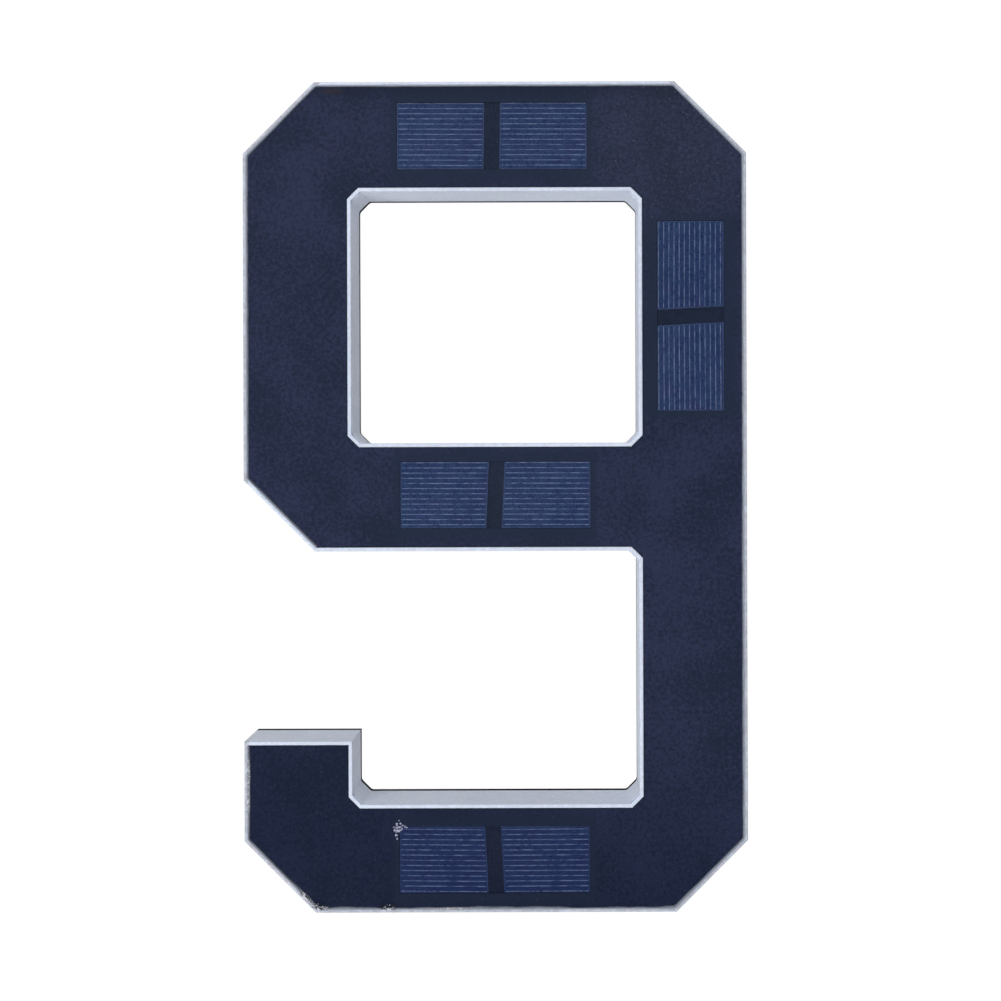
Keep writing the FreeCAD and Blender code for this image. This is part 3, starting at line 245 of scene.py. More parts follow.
def use(group, inputs, tree=None):
    """Places a node group and returns its outputs."""
    return place("ShaderNodeGroup", inputs, tree, node_tree=group).outputs


def start_material(name, **constants):
    """A material, its Principled shader and the place on the object, in millimetres.

    constants are put on the shader's own sockets.
    """
    material = bpy.data.materials.new(name)
    material.use_nodes = True
    shader = material.node_tree.nodes["Principled BSDF"]
    for socket, setting in constants.items():
        shader.inputs[socket.replace("_", " ")].default_value = setting
    metres = place("ShaderNodeTexCoord", tree=material.node_tree).outputs["Object"]
    inputs = {0: metres, "Scale": 1 / MM}
    vector = place("ShaderNodeVectorMath", inputs, operation="SCALE").outputs[0]
    return material, shader, vector


def feed(shader, **sources):
    """Links sockets to the shader's inputs."""
    for name, source in sources.items():
        shader.id_data.links.new(source, shader.inputs[name.replace("_", " ")])


def bump(height, depth, strength=1.0, normal=None):
    """A Bump node's normal. depth is the real height of the relief, in metres."""
    inputs = {"Height": height, "Distance": depth, "Strength": strength}
    if normal is not None:
        inputs["Normal"] = normal
    return place("ShaderNodeBump", inputs).outputs[0]


def flat_normal(material):
    """The normal of the faces themselves, which keeps a flat sheet flat."""
    return place("ShaderNodeNewGeometry", tree=material.node_tree).outputs["True Normal"]


print("node helpers ready")

# %% [markdown]
# Four effects turn up on several pieces. Grain is the fine spark-eroded texture of an
# injection mould. Mottle is the slow drift of colour that every real surface has. Edge is
# where a corner is rubbed: the Bevel node gives the normal of a rounded edge, and where
# that differs from the true normal there is an edge. Height paints shade on the foot of
# the face, darkest at its left, as the photograph shows.

# %% Shared groups
LIGHT_SLANT = 0.35
LIGHT_FROM = -30.0


def make_grain():
    """Height of a moulded texture: small cells under cloud noise."""
    group, start, end = start_group(
        "mould_grain",
        {"Vector": ("Vector", None), "Scale": ("Float", 2.0)},
        {"Height": "Float"},
    )
    fine = noise(start["Vector"], start["Scale"], 4.0, 0.6)
    pits = cells(start["Vector"], start["Scale"])
    group.links.new(times_plus(pits, 0.4, fine), end["Height"])
    return group


def make_mottle():
    """Two tones mixed by slow noise, with a share of finer noise in it."""
    group, start, end = start_group(
        "mottle",
        {
            "Vector": ("Vector", None),
            "Scale": ("Float", 0.05),
            "Fine Scale": ("Float", 1.0),
            "First": ("Color", (0.5, 0.5, 0.5, 1)),
            "Second": ("Color", (0.6, 0.6, 0.6, 1)),
        },
        {"Color": "Color"},
    )
    slow = noise(start["Vector"], start["Scale"], 2.0)
    fine = noise(start["Vector"], start["Fine Scale"], 5.0, 0.65)
    both = times_plus(fine, 0.8, times(slow, 0.4))
    share = ramp(both, 0.49, 0.71)
    group.links.new(mix(share, start["First"], start["Second"]), end["Color"])
    return group


def make_edge():
    """A mask of the edges, and the normal that rounds them."""
    group, start, end = start_group(
        "soft_edge",
        {"Radius": ("Float", 0.3 * MM)},
        {"Mask": "Float", "Normal": "Vector"},
    )
    rounded = place("ShaderNodeBevel", {"Radius": start["Radius"]}, samples=6).outputs[0]
    true = place("ShaderNodeNewGeometry", tree=group).outputs["Normal"]
    together = place("ShaderNodeVectorMath", {0: rounded, 1: true}, operation="DOT_PRODUCT")
    group.links.new(ramp(together.outputs["Value"], 0.98, 0.8), end["Mask"])
    group.links.new(rounded, end["Normal"])
    return group


def make_height():
    """How far up the face a point lies, which sets the painted shade: 0 at its lower left foot, 1
    from LIGHT_FROM on.
    """
    group, start, end = start_group(
        "painted_shade_height", {"Vector": ("Vector", None)}, {"Share": "Float"}
    )
    axes = split(start["Vector"])
    height = times_plus(axes["X"], LIGHT_SLANT, axes["Z"])
    group.links.new(ramp(height, cad_low[2] / MM, LIGHT_FROM), end["Share"])
    return group


grain, mottle, soft_edge, painted_shade_height = make_grain(), make_mottle(), make_edge(), make_height()


def mottled(vector, scale, fine_scale, first, second):
    """A colour that drifts between two tones."""
    inputs = {"Vector": vector, "Scale": scale, "Fine Scale": fine_scale}
    return use(mottle, inputs | {"First": first, "Second": second})["Color"]


def grained(vector, scale, depth, strength, normal=None):
    """The normal of a moulded surface whose grain has that depth, in metres."""
    height = use(grain, {"Vector": vector, "Scale": scale})["Height"]
    return bump(height, depth, strength, normal)


print("groups:", [group.name for group in bpy.data.node_groups])

# %% [markdown]
# The housing is one opal moulding. It lets a little light in, so it has some subsurface
# scatter, and its tint is a pale lavender. Handling leaves it dull along the rim. The outer
# rim is a little greyer than the rim round the window and the bay, which is painted shade.
# The distance to the nearest outer side gives that band.

# %% Opal housing
OPAL = colour(0.73, 0.785, 0.93)
OPAL_DULL = colour(0.63, 0.69, 0.825)
# Grey for the painted shade on the outer rim, and for the rubbed edges.
OPAL_SHADE_AND_WEAR = colour(0.38, 0.395, 0.45)
RIM_BAND = 1.3
# Behind the front of the rim, where the band begins and where it is full.
BAND_START, BAND_FULL = 2.0, 0.6


def outer_band(vector):
    """One on the rim along the left, right and lower sides and the cuts, nothing elsewhere."""
    axes = split(vector)
    front = ramp(axes["Y"], rim_front / MM + BAND_START, rim_front / MM + BAND_FULL)
    aside = absolute(axes["X"])
    side_gap, foot_gap = minus(cad_high[0] / MM, aside), minus(axes["Z"], cad_low[2] / MM)
    cut_sum = (cad_high[0] + cad_high[2] - OUTER_CUT) / MM
    cut_gap = times(minus(cut_sum, plus(aside, absolute(axes["Z"]))), math.sqrt(0.5))
    gap = smaller(smaller(side_gap, foot_gap), cut_gap)
    return times(ramp(gap, RIM_BAND * 1.15, RIM_BAND), front)


def opal_plastic(name):
    """Pale plastic with some scatter, painted shade on its outer rim, and worn at its edges."""
    material, shader, vector = start_material(
        name, Subsurface_Weight=0.12, Subsurface_Scale=0.004, IOR=1.49, Specular_IOR_Level=0.2
    )
    tone = mottled(vector, 0.03, 0.9, OPAL_DULL, OPAL)
    edge = use(soft_edge, {"Radius": 0.25 * MM}, material.node_tree)
    uneven = ramp(noise(vector, 0.5, 4.0, 0.65), 0.35, 0.65, 0.4, 0.85)
    # Painted shade greys the outer rim. The edge mask below adds real wear.
    painted_rim_shade = times(outer_band(vector), uneven)
    worn = times(edge["Mask"], ramp(noise(vector, 0.7), 0.4, 0.7))
    tone = mix(painted_rim_shade, tone, OPAL_SHADE_AND_WEAR)
    tone = mix(times(worn, 0.35), tone, OPAL_SHADE_AND_WEAR)
    rough = ramp(noise(vector, 0.25), 0.3, 0.7, 0.38, 0.5)
    normal = grained(vector, 3.0, 0.02 * MM, 0.5, edge["Normal"])
    feed(shader, Base_Color=tone, Roughness=rough, Normal=normal)
    return material


# %% [markdown]
# The face is a laminate. On top lies a clear film with an embossed, slightly leathery
# texture, so it half hides what is under it. It could be a glass-like shader, but a thin
# film over a dark board shows no refraction, so a share of Alpha gives the same look with
# far less noise. Under it lies the dark blue sheet, and the black board shows in the gap
# between the two cells of a pair. Glued layers have no air between them and so hardly
# reflect, which a low specular level gives. The back of the film lies on the front of the
# sheet, and which of two such faces a ray meets first is chance. So the film wears the
# colour of the two together and is opaque, and only over the cells and their gap, where
# there is room under it, is it seen through. Beside the cells it is a little darker and
# greener, over a short way along the bar and a longer one across it, and it is darkest
# along the top edge.

# %% Laminate
FILM_ALPHA = 0.25
FILM_TONE = colour(0.030, 0.036, 0.060)
FILM_DARK = colour(0.010, 0.014, 0.030)
FILM_FLECK = colour(0.12, 0.135, 0.18)
# The LOW tones are painted shade at the foot of the face, and the HIGH ones are the tones further
# up.
SHEET_LOW = (colour(0.0055, 0.0105, 0.028), colour(0.010, 0.0150, 0.041))
SHEET_HIGH = (colour(0.0145, 0.0200, 0.044), colour(0.0260, 0.0325, 0.074))
MARGIN_LOW = colour(0.0100, 0.0165, 0.039)
MARGIN_HIGH = colour(0.0150, 0.0233, 0.049)
TOP_SHADE = colour(0.0100, 0.0155, 0.031)
SMEAR_TONE = colour(0.029, 0.024, 0.031)
# Reaches in millimetres. The margin's is this many times shorter along the bar.
MARGIN_REACH, MARGIN_SHORTER = 7.0, 2.2
TOP_REACH = 7.0
# How far inside a pair's edge the film begins to clear, and where it is quite clear.
OPENING_EDGE = (-0.28, 0.08)
SMEAR_PLACE, SMEAR_RADIUS, SMEAR_FLATNESS = pixel_place(331, 91), 5.0 * MM, 3.5
WORN_PLACE, WORN_RADIUS = pixel_place(670, 140), 40 * MM
film_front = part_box("panel_film")[0].y
CELL_PAIRS = (
    ("top_left", "top_right"),
    ("side_lower", "side_upper"),
    ("middle_left", "middle_right"),
    ("bottom_left", "bottom_right"),
)


def pair_depth(vector, along_scale):
    """How far inside a pair of cells a point lies, below zero outside them all.

    The way along the bar is counted along_scale times.
    """
    axes = split(vector)
    deepest = None
    for first, last in CELL_PAIRS:
        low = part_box(f"solar_cell_{first}")[0] / MM
        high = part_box(f"solar_cell_{last}")[1] / MM
        long_axis = "Z" if first.startswith("side") else "X"
        depths = []
        for axis, start, end in (("X", low.x, high.x), ("Z", low.z, high.z)):
            off = absolute(minus(axes[axis], (start + end) / 2))
            depth = minus((end - start) / 2, off)
            scale = along_scale if axis == long_axis else 1.0
            depths.append(times(depth, scale))
        inside = smaller(*depths)
        deepest = inside if deepest is None else larger(deepest, inside)
    return deepest


def sheet_tone(vector, low_tones, high_tones, fine_scale):
    """Two close tones in painted shade at the foot of the face, and two lighter ones further up."""
    share = use(painted_shade_height, {"Vector": vector})["Share"]
    first = mix(share, low_tones[0], high_tones[0])
    second = mix(share, low_tones[1], high_tones[1])
    return mottled(vector, 0.05, fine_scale, first, second)


def textured_film(name):
    """The film alone over the cells, and the film and sheet together round them."""
    material, shader, vector = start_material(name, IOR=1.45, Specular_IOR_Level=0.05)
    clear = mottled(vector, 0.02, 1.1, FILM_DARK, FILM_TONE)
    open_here = ramp(pair_depth(vector, 1.0), *OPENING_EDGE)
    share = use(painted_shade_height, {"Vector": vector})["Share"]
    # Painted shade: the margin is also darker at the foot of the face.
    margin = mix(share, MARGIN_LOW, MARGIN_HIGH)
    tone = sheet_tone(vector, SHEET_LOW, SHEET_HIGH, 0.9)
    beside = pair_depth(vector, MARGIN_SHORTER)
    tone = mix(ramp(beside, -MARGIN_REACH, -1.0, 0.0, 0.85), tone, margin)
    top_gap = minus(cad_high[2] / MM, split(vector)["Z"])
    tone = mix(ramp(top_gap, TOP_REACH, 1.0, 0.0, 0.7), tone, TOP_SHADE)
    tone = mix(open_here, tone, clear)

    def around(spot, radius, flatness=1.0):
        """One near a spot, nothing from radius on, and that much sooner along Z."""
        squeezed = stretched(vector, (1, 1, flatness))
        middle = (spot[0] / MM, film_front / MM, flatness * spot[1] / MM)
        return ramp(distance(squeezed, middle), radius / MM, radius / MM * 0.2)

    flecks = ramp(noise(vector, 1.3, 3.0, 0.6), 0.60, 0.74)
    worn = around(WORN_PLACE, WORN_RADIUS)
    flecks = times(flecks, ramp(worn, 0.0, 1.0, 0.2, 0.8))
    haze = times_plus(worn, 0.06, flecks)
    tone = mix(haze, tone, FILM_FLECK)
    creases = ramp(noise(vector, 1.7, 3.0, 0.6), 0.46, 0.32, 0.0, 0.8)
    tone = mix(times(creases, worn), tone, FILM_DARK)
    smear = times(around(SMEAR_PLACE, SMEAR_RADIUS, SMEAR_FLATNESS), 0.65)
    tone = mix(smear, tone, SMEAR_TONE)
    rough = ramp(noise(vector, 0.4), 0.3, 0.7, 0.42, 0.56)
    alpha = times_plus(open_here, FILM_ALPHA - 1.0, 1.0)
    normal = grained(vector, 1.6, 0.05 * MM, 0.7, flat_normal(material))
    feed(shader, Base_Color=tone, Roughness=rough, Alpha=alpha, Normal=normal)
    return material


def under_film(name, low_tones, high_tones):
    """A sheet or board under the film."""
    material, shader, vector = start_material(name, Specular_IOR_Level=0.08)
    tone = sheet_tone(vector, low_tones, high_tones, 1.4)
    normal = grained(vector, 2.5, 0.02 * MM, 0.6, flat_normal(material))
    feed(shader, Base_Color=tone, Normal=normal)
    return material


# %% [markdown]
# Each cell is a slice of crystalline silicon: blue, with flakes of slightly different
# blue, and crossed by thin silver fingers along its long side. The cells were cut and laid
# by hand, so none is quite square to the figure, and the fingers start at another distance
# from the edge in each pair. The pattern is worked out in each cell's own millimetres: a
# Mapping node moves the origin to the cell's centre and turns it, and one group then draws
# the fingers, the pale edge and the flakes for all eight.

# %% Solar cells
CELL_LENGTH = 26.2
CELL_WIDTH = 20.0
FINGER_PITCH = 1.556
FINGER_WIDTH = 0.24
CELL_BLUE = colour(0.024, 0.074, 0.250)
CELL_VIOLET = colour(0.044, 0.066, 0.262)
CELL_PALE = colour(0.066, 0.150, 0.370)
CELL_FRECKLE = colour(0.009, 0.026, 0.100)
CELL_SHADE = colour(0.24, 0.42, 0.69)
SILVER = colour(0.42, 0.54, 0.92)
# How far each cell was laid off square, in degrees.
CELL_TURNS = {
    "top_left": 0.3, "top_right": 0.2, "side_upper": 0.3, "side_lower": -0.3,
    "middle_left": 0.1, "middle_right": 0.2, "bottom_left": 0.6, "bottom_right": -0.2,
}
# From the upper or left edge of a cell to its first finger, and the slope of the cut
# between the two cells of a pair.
FIRST_FINGERS = {"top": 0.1, "middle": 0.25, "bottom": 0.9, "side": 0.35}
CUT_SLOPES = {"top": 0.8, "middle": 2.5, "bottom": -2.8, "side": -3.0}


def make_cell_face():
    """Fingers at every whole pitch across the cell, flakes from Voronoi cells.

    Vector runs along the fingers in X and across them in Z, from the cell's centre. Side
    is the sign of X at its outer end. The inner end is at a slope to Z.
    """
    group, start, end = start_group(
        "cell_face",
        {
            "Vector": ("Vector", None),
            "First Finger": ("Float", 0.0),
            "Side": ("Float", 1.0),
            "Slope": ("Float", 0.0),
        },
        {"Color": "Color", "Silver": "Float"},
    )
    axes = split(start["Vector"])
    offset = minus(axes["Z"], start["First Finger"])
    line = calculate("DIVIDE", offset, FINGER_PITCH)
    number = calculate("ROUND", line)
    off = absolute(minus(line, number))
    half = FINGER_WIDTH / 2 / FINGER_PITCH
    finger = ramp(off, half * 1.5, half * 0.6)

    # Distances to the outer end, the slanted inner end and the nearer long side.
    outer = times(times(axes["X"], start["Side"]), -1.0)
    inner = times(minus(axes["X"], times(axes["Z"], start["Slope"])), start["Side"])
    end_gap = plus(smaller(outer, inner), CELL_LENGTH / 2)
    side_gap = minus(CELL_WIDTH / 2, absolute(axes["Z"]))
    finger = times(finger, ramp(end_gap, 0.2, 0.7))
    border = ramp(smaller(end_gap, side_gap), 0.5, 0.1)

    # Each finger is printed unevenly, so its noise depends on its number.
    spread = {"X": (axes["X"], 0.45), "Y": (number, 3.7), "Z": (start["First Finger"], 5.0)}
    inputs = {axis: times(*pair) for axis, pair in spread.items()}
    print_place = place("ShaderNodeCombineXYZ", inputs).outputs[0]
    uneven = ramp(noise(print_place, 1.0, 4.0, 0.75), 0.34, 0.62, 0.1, 1.0)
    silver = times(finger, uneven)
    silver = larger(silver, times(border, 0.16))
    drawn = stretched(start["Vector"], (0.12, 1.0, 1.5))
    streak = ramp(noise(drawn, 1.0, 3.0, 0.7), 0.5, 0.66, 0.0, 0.6)

    flake = cells(start["Vector"], 0.35, "Color")
    flake_tone = place("ShaderNodeSeparateColor", {0: flake}).outputs
    cloud = ramp(noise(start["Vector"], 0.12, 4.0, 0.6), 0.35, 0.65)
    tone = mix(cloud, CELL_BLUE, CELL_VIOLET)
    tone = mix(times(flake_tone["Red"], 0.45), tone, CELL_PALE)
    speck = noise(start["Vector"], 1.6, 3.0, 0.7)
    tone = mix(streak, tone, CELL_PALE)
    tone = mix(ramp(speck, 0.48, 0.36, 0.0, 0.75), tone, CELL_FRECKLE)
    tone = mix(ramp(speck, 0.54, 0.68, 0.0, 0.6), tone, CELL_PALE)
    group.links.new(mix(silver, tone, SILVER), end["Color"])
    group.links.new(silver, end["Silver"])
    return group


cell_face = make_cell_face()


def solar_cell(name):
    """The finish of one cell, centred and turned on that cell."""
    material, shader, vector = start_material(name, Specular_IOR_Level=0.1)
    pair, place_in_pair = name.split("_")[-2:]
    low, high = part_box(name)
    stands = pair == "side"
    turn = math.radians(CELL_TURNS[f"{pair}_{place_in_pair}"] + (90 if stands else 0))
    slope = math.tan(math.radians(CUT_SLOPES[pair]))
    outer_side = -1.0 if place_in_pair in ("left", "upper") else 1.0
    along = Vector((0, 0, -outer_side) if stands else (outer_side, 0, 0))
    # The box is longer than the cell by half of the slant, all at the inner end.
    middle = (low + high) / 2 / MM + along * abs(slope) * CELL_WIDTH / 4
    inputs = {"Vector": vector, "Location": middle, "Rotation": (0, turn, 0)}
    own = place("ShaderNodeMapping", inputs, vector_type="TEXTURE").outputs[0]
    first = CELL_WIDTH / 2 - FIRST_FINGERS[pair]
    inputs = {"First Finger": -first if stands else first, "Side": outer_side, "Slope": slope}
    face = use(cell_face, {"Vector": own} | inputs)
    # Painted shade: the cell's colour is multiplied towards CELL_SHADE at the foot of the face,
    # less on its fingers.
    share = use(painted_shade_height, {"Vector": vector})["Share"]
    white = colour(1.0, 1.0, 1.0)
    shade = mix(share, CELL_SHADE, white)
    shade = mix(times(face["Silver"], 0.8), shade, white)
    tone = mix(1.0, face["Color"], shade, "MULTIPLY")
    rough = ramp(face["Silver"], 0.0, 1.0, 0.28, 0.5)
    feed(shader, Base_Color=tone, Roughness=rough)
    feed(shader, Normal=bump(face["Silver"], 0.02 * MM, 1.0, flat_normal(material)))
    return material


print("solar cells:", sorted(name for name in nodes if name.startswith("solar_cell")))

# %% [markdown]
# The back plate, the door and the keyhole caps are black mouldings with a fine texture.
# Where they are handled, the corners go smooth and grey, which the edge mask gives. Their
# sides came off a coarser part of the mould and are dull, so the sheen is a thin coat whose
# weight follows how far a face looks to the front or back. The foam tape is open-celled.

# %% Black mouldings and foam
SHEEN = 0.5
RUBBED_GREY = colour(0.05, 0.05, 0.055)
# The darker foam tone is painted shade in the pores.
FOAM_PORE_SHADE, FOAM_PALE = colour(0.45, 0.45, 0.43), colour(0.72, 0.72, 0.70)


def black_plastic(name, tone, roughness):
    """Dull black, with a thin sheen as a coat where a face looks to the front or back."""
    material, shader, vector = start_material(
        name, Specular_IOR_Level=0.0, Coat_Roughness=roughness
    )
    normal = place("ShaderNodeNewGeometry", tree=material.node_tree).outputs["Normal"]
    facing = split(normal)["Y"]
    shine = times(times(facing, facing), SHEEN)
    dark = colour(tone, tone, tone * 1.15)
    pale = colour(tone * 1.7, tone * 1.7, tone * 1.9)
    base = mottled(vector, 0.04, 1.2, dark, pale)
    edge = use(soft_edge, {"Radius": 0.3 * MM}, material.node_tree)
    rubbed = times(edge["Mask"], ramp(noise(vector, 0.5), 0.4, 0.65))
    base = mix(times(rubbed, 0.3), base, RUBBED_GREY)
    rough = times_plus(rubbed, -0.1, roughness)
    feed(shader, Base_Color=base, Roughness=rough, Coat_Weight=shine)
    feed(shader, Normal=grained(vector, 3.5, 0.04 * MM, 0.8, edge["Normal"]))
    return material


def foam_tape(name):
    """Pale foam, with painted shade in the middle of each pore."""
    material, shader, vector = start_material(name, Roughness=0.9)
    pores = cells(vector, 3.0)
    tone = mix(ramp(pores, 0.0, 0.35), FOAM_PORE_SHADE, FOAM_PALE)
    feed(shader, Base_Color=tone, Normal=bump(pores, 0.1 * MM))
    return material


def dull_sheet(name, first, second):
    """A dull surface of two close tones with fine grain."""
    material, shader, vector = start_material(name, Roughness=0.6)
    tone = mottled(vector, 0.08, 1.5, first, second)
    feed(shader, Base_Color=tone, Normal=grained(vector, 2.5, 0.02 * MM, 0.6))
    return material


# %% [markdown]
# Screws and contacts are bright metal, with fine lines left by the rolls and the tools that
# shaped them. Noise on stretched coordinates draws such lines. The capacitor's can is the
# same, under a thin clear coat.

# %% Metals


def shaded(tone, share):
    """A tone with that share of its light."""
    return colour(*(share * part for part in tone[:3]))


def brushed_metal(name, tone, stretch, roughness=0.3, **constants):
    """Metal whose scratches are long where stretch is small."""
    material, shader, vector = start_material(name, Metallic=1.0, **constants)
    lines = noise(stretched(vector, stretch), 4.0, 4.0, 0.6)
    stain = ramp(noise(vector, 0.6), 0.4, 0.7)
    tone = mix(times(stain, 0.5), tone, shaded(tone, 0.62))
    rough = ramp(lines, 0.3, 0.7, roughness, roughness + 0.18)
    feed(shader, Base_Color=tone, Roughness=rough, Normal=bump(lines, 0.01 * MM))
    return material


print("mouldings, foam and metals ready")

# %% [markdown]
# The battery wears a shrunk plastic sleeve. Real ones carry print, which is left off, so
# it has two plain bands of colour, and the bare metal of its end shows at the positive
# nub. The bands lie along Z, and a step in Z mixes them.

# %% Battery
SLEEVE_GREENS = colour(0.02, 0.16, 0.07), colour(0.03, 0.2, 0.09)
SLEEVE_GREY = colour(0.35, 0.36, 0.37)
BARE_STEEL = colour(0.55, 0.55, 0.54)
# From the battery's top down to the foot of its nub and of its grey band, and the width
# over which one turns into the next, in millimetres.
NUB_FOOT, BAND_FOOT, STEP_WIDTH = 1.6, 14.0, 0.2


def battery_sleeve(name):
    """Two bands and a bare nub, each a step in Z."""
    material, shader, vector = start_material(name, Coat_Weight=0.5)
    depth = minus(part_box("battery")[1].z / MM, split(vector)["Z"])
    nub = ramp(depth, NUB_FOOT, NUB_FOOT - STEP_WIDTH)
    band = ramp(depth, BAND_FOOT, BAND_FOOT - STEP_WIDTH)
    wrinkle = noise(vector, 0.5, 3.0)
    green = mix(ramp(wrinkle, 0.3, 0.7), *SLEEVE_GREENS)
    tone = mix(nub, mix(band, green, SLEEVE_GREY), BARE_STEEL)
    rough = ramp(wrinkle, 0.3, 0.7, 0.25, 0.38)
    feed(shader, Base_Color=tone, Metallic=nub, Roughness=rough)
    feed(shader, Normal=bump(wrinkle, 0.04 * MM))
    return material


# %% [markdown]
# A circuit board is glass cloth under a coloured solder mask, with copper tracks that
# show as slightly raised, lighter paths. Square Voronoi cells give paths that turn at right
# angles, and a fine chequer gives the weave.

# %% Boards


def circuit_board(name, mask_tone, track_tone, track_scale, roughness=0.3):
    """Tracks run where the second nearest cell is far away. The weave lies under them."""
    material, shader, vector = start_material(name, Coat_Weight=0.3, Roughness=roughness)
    inputs = {"Vector": vector, "Scale": track_scale, "Randomness": 0.6}
    tiles = place("ShaderNodeTexVoronoi", inputs, distance="CHEBYCHEV", feature="F2")
    tracks = ramp(tiles.outputs["Distance"], 0.78, 0.82)
    inputs = {"Vector": stretched(vector, (3, 3, 3)), "Scale": 1.0}
    weave = place("ShaderNodeTexChecker", inputs).outputs["Fac"]
    tone = mix(times(tracks, 0.8), mask_tone, track_tone)
    height = times_plus(weave, 0.15, tracks)
    feed(shader, Base_Color=tone, Normal=bump(height, 0.03 * MM, 0.7))
    return material


# %% [markdown]
# A lead's skin is soft extruded plastic: even in colour, a little shiny, with faint
# ripples. Rubber seals are much duller. The well of phosphor of a white light is yellow
# and speckled with its grains. All of them are one recipe with other values, two tones
# mixed by a noise that also lifts the surface, and so is the residue further down.

# %% Leads, seals and grains


def two_tone(name, first, second, pattern, edges, lift, **constants):
    """Two tones mixed by a noise that also lifts the surface by lift, in millimetres.

    pattern holds the noise's scale, detail and roughness, and edges the two values of the
    noise between which the tones change.
    """
    material, shader, vector = start_material(name, **constants)
    lumps = noise(vector, *pattern)
    tone = mix(ramp(lumps, *edges), first, second)
    feed(shader, Base_Color=tone, Normal=bump(lumps, lift * MM))
    return material


def soft_skin(name, tone, roughness):
    """Faint ripples over an even tone."""
    shade = shaded(tone, 0.72)
    return two_tone(name, tone, shade, (0.8, 3.0), (0.35, 0.65), 0.05, Roughness=roughness)


# %% [markdown]
# The record says which finish each CAD node takes. One table turns those names into the
# materials above, and a loop puts them on. The cells are the exception: each has its own.

# %% Put the finishes on
STEEL = colour(0.60, 0.60, 0.59)
# The stretch of the scratches on a round part, along Y, and on a strip, along Z.
ROUND, STRIP = (1.0, 0.2, 1.0), (1.0, 1.0, 0.15)
# The recipe for each finish, and the values that it takes after the name.
recipes = {
    "opal_plastic": (opal_plastic,),
    "textured_film": (textured_film,),
    "dark_encapsulant": (under_film, SHEET_LOW, SHEET_HIGH),
    # The board's first two tones are painted shade at the foot of the face, and the second two lie
    # further up.
    "black_laminate": (
        under_film,
        (colour(0.002, 0.008, 0.036), colour(0.005, 0.015, 0.052)),
        (colour(0.011, 0.025, 0.056), colour(0.024, 0.041, 0.090)),
    ),
    "foam_tape": (foam_tape,),
    "black_plastic": (black_plastic, 0.012, 0.65),
    "seal_rubber": (soft_skin, colour(0.03, 0.03, 0.032), 0.75),
    "battery_sleeve": (battery_sleeve,),
    "plated_spring_steel": (brushed_metal, STEEL, STRIP),
    "stainless_screw": (brushed_metal, STEEL, ROUND, 0.28),
    "switch_plastic": (black_plastic, 0.02, 0.5),
    "slider_plastic": (black_plastic, 0.26, 0.45),
    "green_circuit_board": (
        circuit_board, colour(0.01, 0.11, 0.035), colour(0.03, 0.22, 0.08), 0.5
    ),
    "chip_plastic": (black_plastic, 0.012, 0.5),
    "ferrite": (dull_sheet, colour(0.05, 0.05, 0.055), colour(0.08, 0.08, 0.085)),
    "capacitor_can": (
        partial(brushed_metal, Coat_Weight=0.4), colour(0.75, 0.76, 0.78), ROUND, 0.25
    ),
    "white_strip": (
        circuit_board, colour(0.78, 0.78, 0.76), colour(0.70, 0.66, 0.55), 0.3, 0.4
    ),
    "phosphor_light": (
        partial(two_tone, Roughness=0.45),
        colour(0.75, 0.62, 0.22), colour(0.85, 0.78, 0.42), (3.0, 4.0), (0.4, 0.6), 0.03,
    ),
    "white_lead": (soft_skin, colour(0.75, 0.75, 0.72), 0.45),
    "red_lead": (soft_skin, colour(0.45, 0.02, 0.015), 0.4),
    "black_lead": (soft_skin, colour(0.018, 0.018, 0.018), 0.45),
}
finishes = {name: make(name, *values) for name, (make, *values) in recipes.items()}

for part in frame["record"]["subparts"]:
    name, slot = part["node"], part["material_slot"]
    finish = solar_cell(name) if slot == "solar_cell" else finishes[slot]
    for holder in nodes[name].material_slots:
        holder.material = finish
print(f"{len(bpy.data.materials)} materials on {len(nodes)} nodes")

# %% [markdown]
# The small pieces that follow are beads that run along an edge, and crumbs that lie on
# one. A bead is a profile carried along a path. The path is a run of straight lines, and
# averaging its place and its direction over a short stretch rounds its corners, as a
# nozzle would. Whole arrays hold the points, and one routine joins them with faces and
# turns the faces outwards: the volume that they enclose is positive only then.

# %% Mesh helpers


def add_piece(name, points, faces, material, attribute=None):
    """A mesh piece that rides on the sign. points is (n, 3), in metres."""
    mesh = bpy.data.meshes.new(name)
    mesh.from_pydata(points.tolist(), [], faces)
    if attribute is not None:
        mesh.attributes.new("across", "FLOAT", "POINT").data.foreach_set("value", attribute)
    work = bmesh.new()
    work.from_mesh(mesh)
    bmesh.ops.remove_doubles(work, verts=work.verts, dist=1e-7)
    if work.calc_volume(signed=True) < 0:
        bmesh.ops.reverse_faces(work, faces=work.faces)
    for face in work.faces:
        face.smooth = True
    volume = work.calc_volume(signed=True) / MM**3
    work.to_mesh(mesh)
    work.free()
    mesh.materials.append(material)
    piece = bpy.data.objects.new(name, mesh)
    bpy.context.scene.collection.objects.link(piece)
    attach(piece, "sign")
    print(f"{name}: {len(mesh.polygons)} faces, {volume:.1f} cubic mm")


def full_turn(count):
    """That many even angles round a circle."""
    return np.linspace(0, 2 * math.pi, count + 1)[:-1]


def grid_faces(rows, columns, around_rows=False):
    """Quads of a grid whose columns close on themselves, and its rows too when asked."""
    row = np.arange(rows if around_rows else rows - 1)[:, None]
    column = np.arange(columns)[None, :]
    next_row, next_column = (row + 1) % rows, (column + 1) % columns
    corners = (
        row * columns + column,
        next_row * columns + column,
        next_row * columns + next_column,
        row * columns + next_column,
    )
    return np.stack(corners, -1).reshape(-1, 4).tolist()


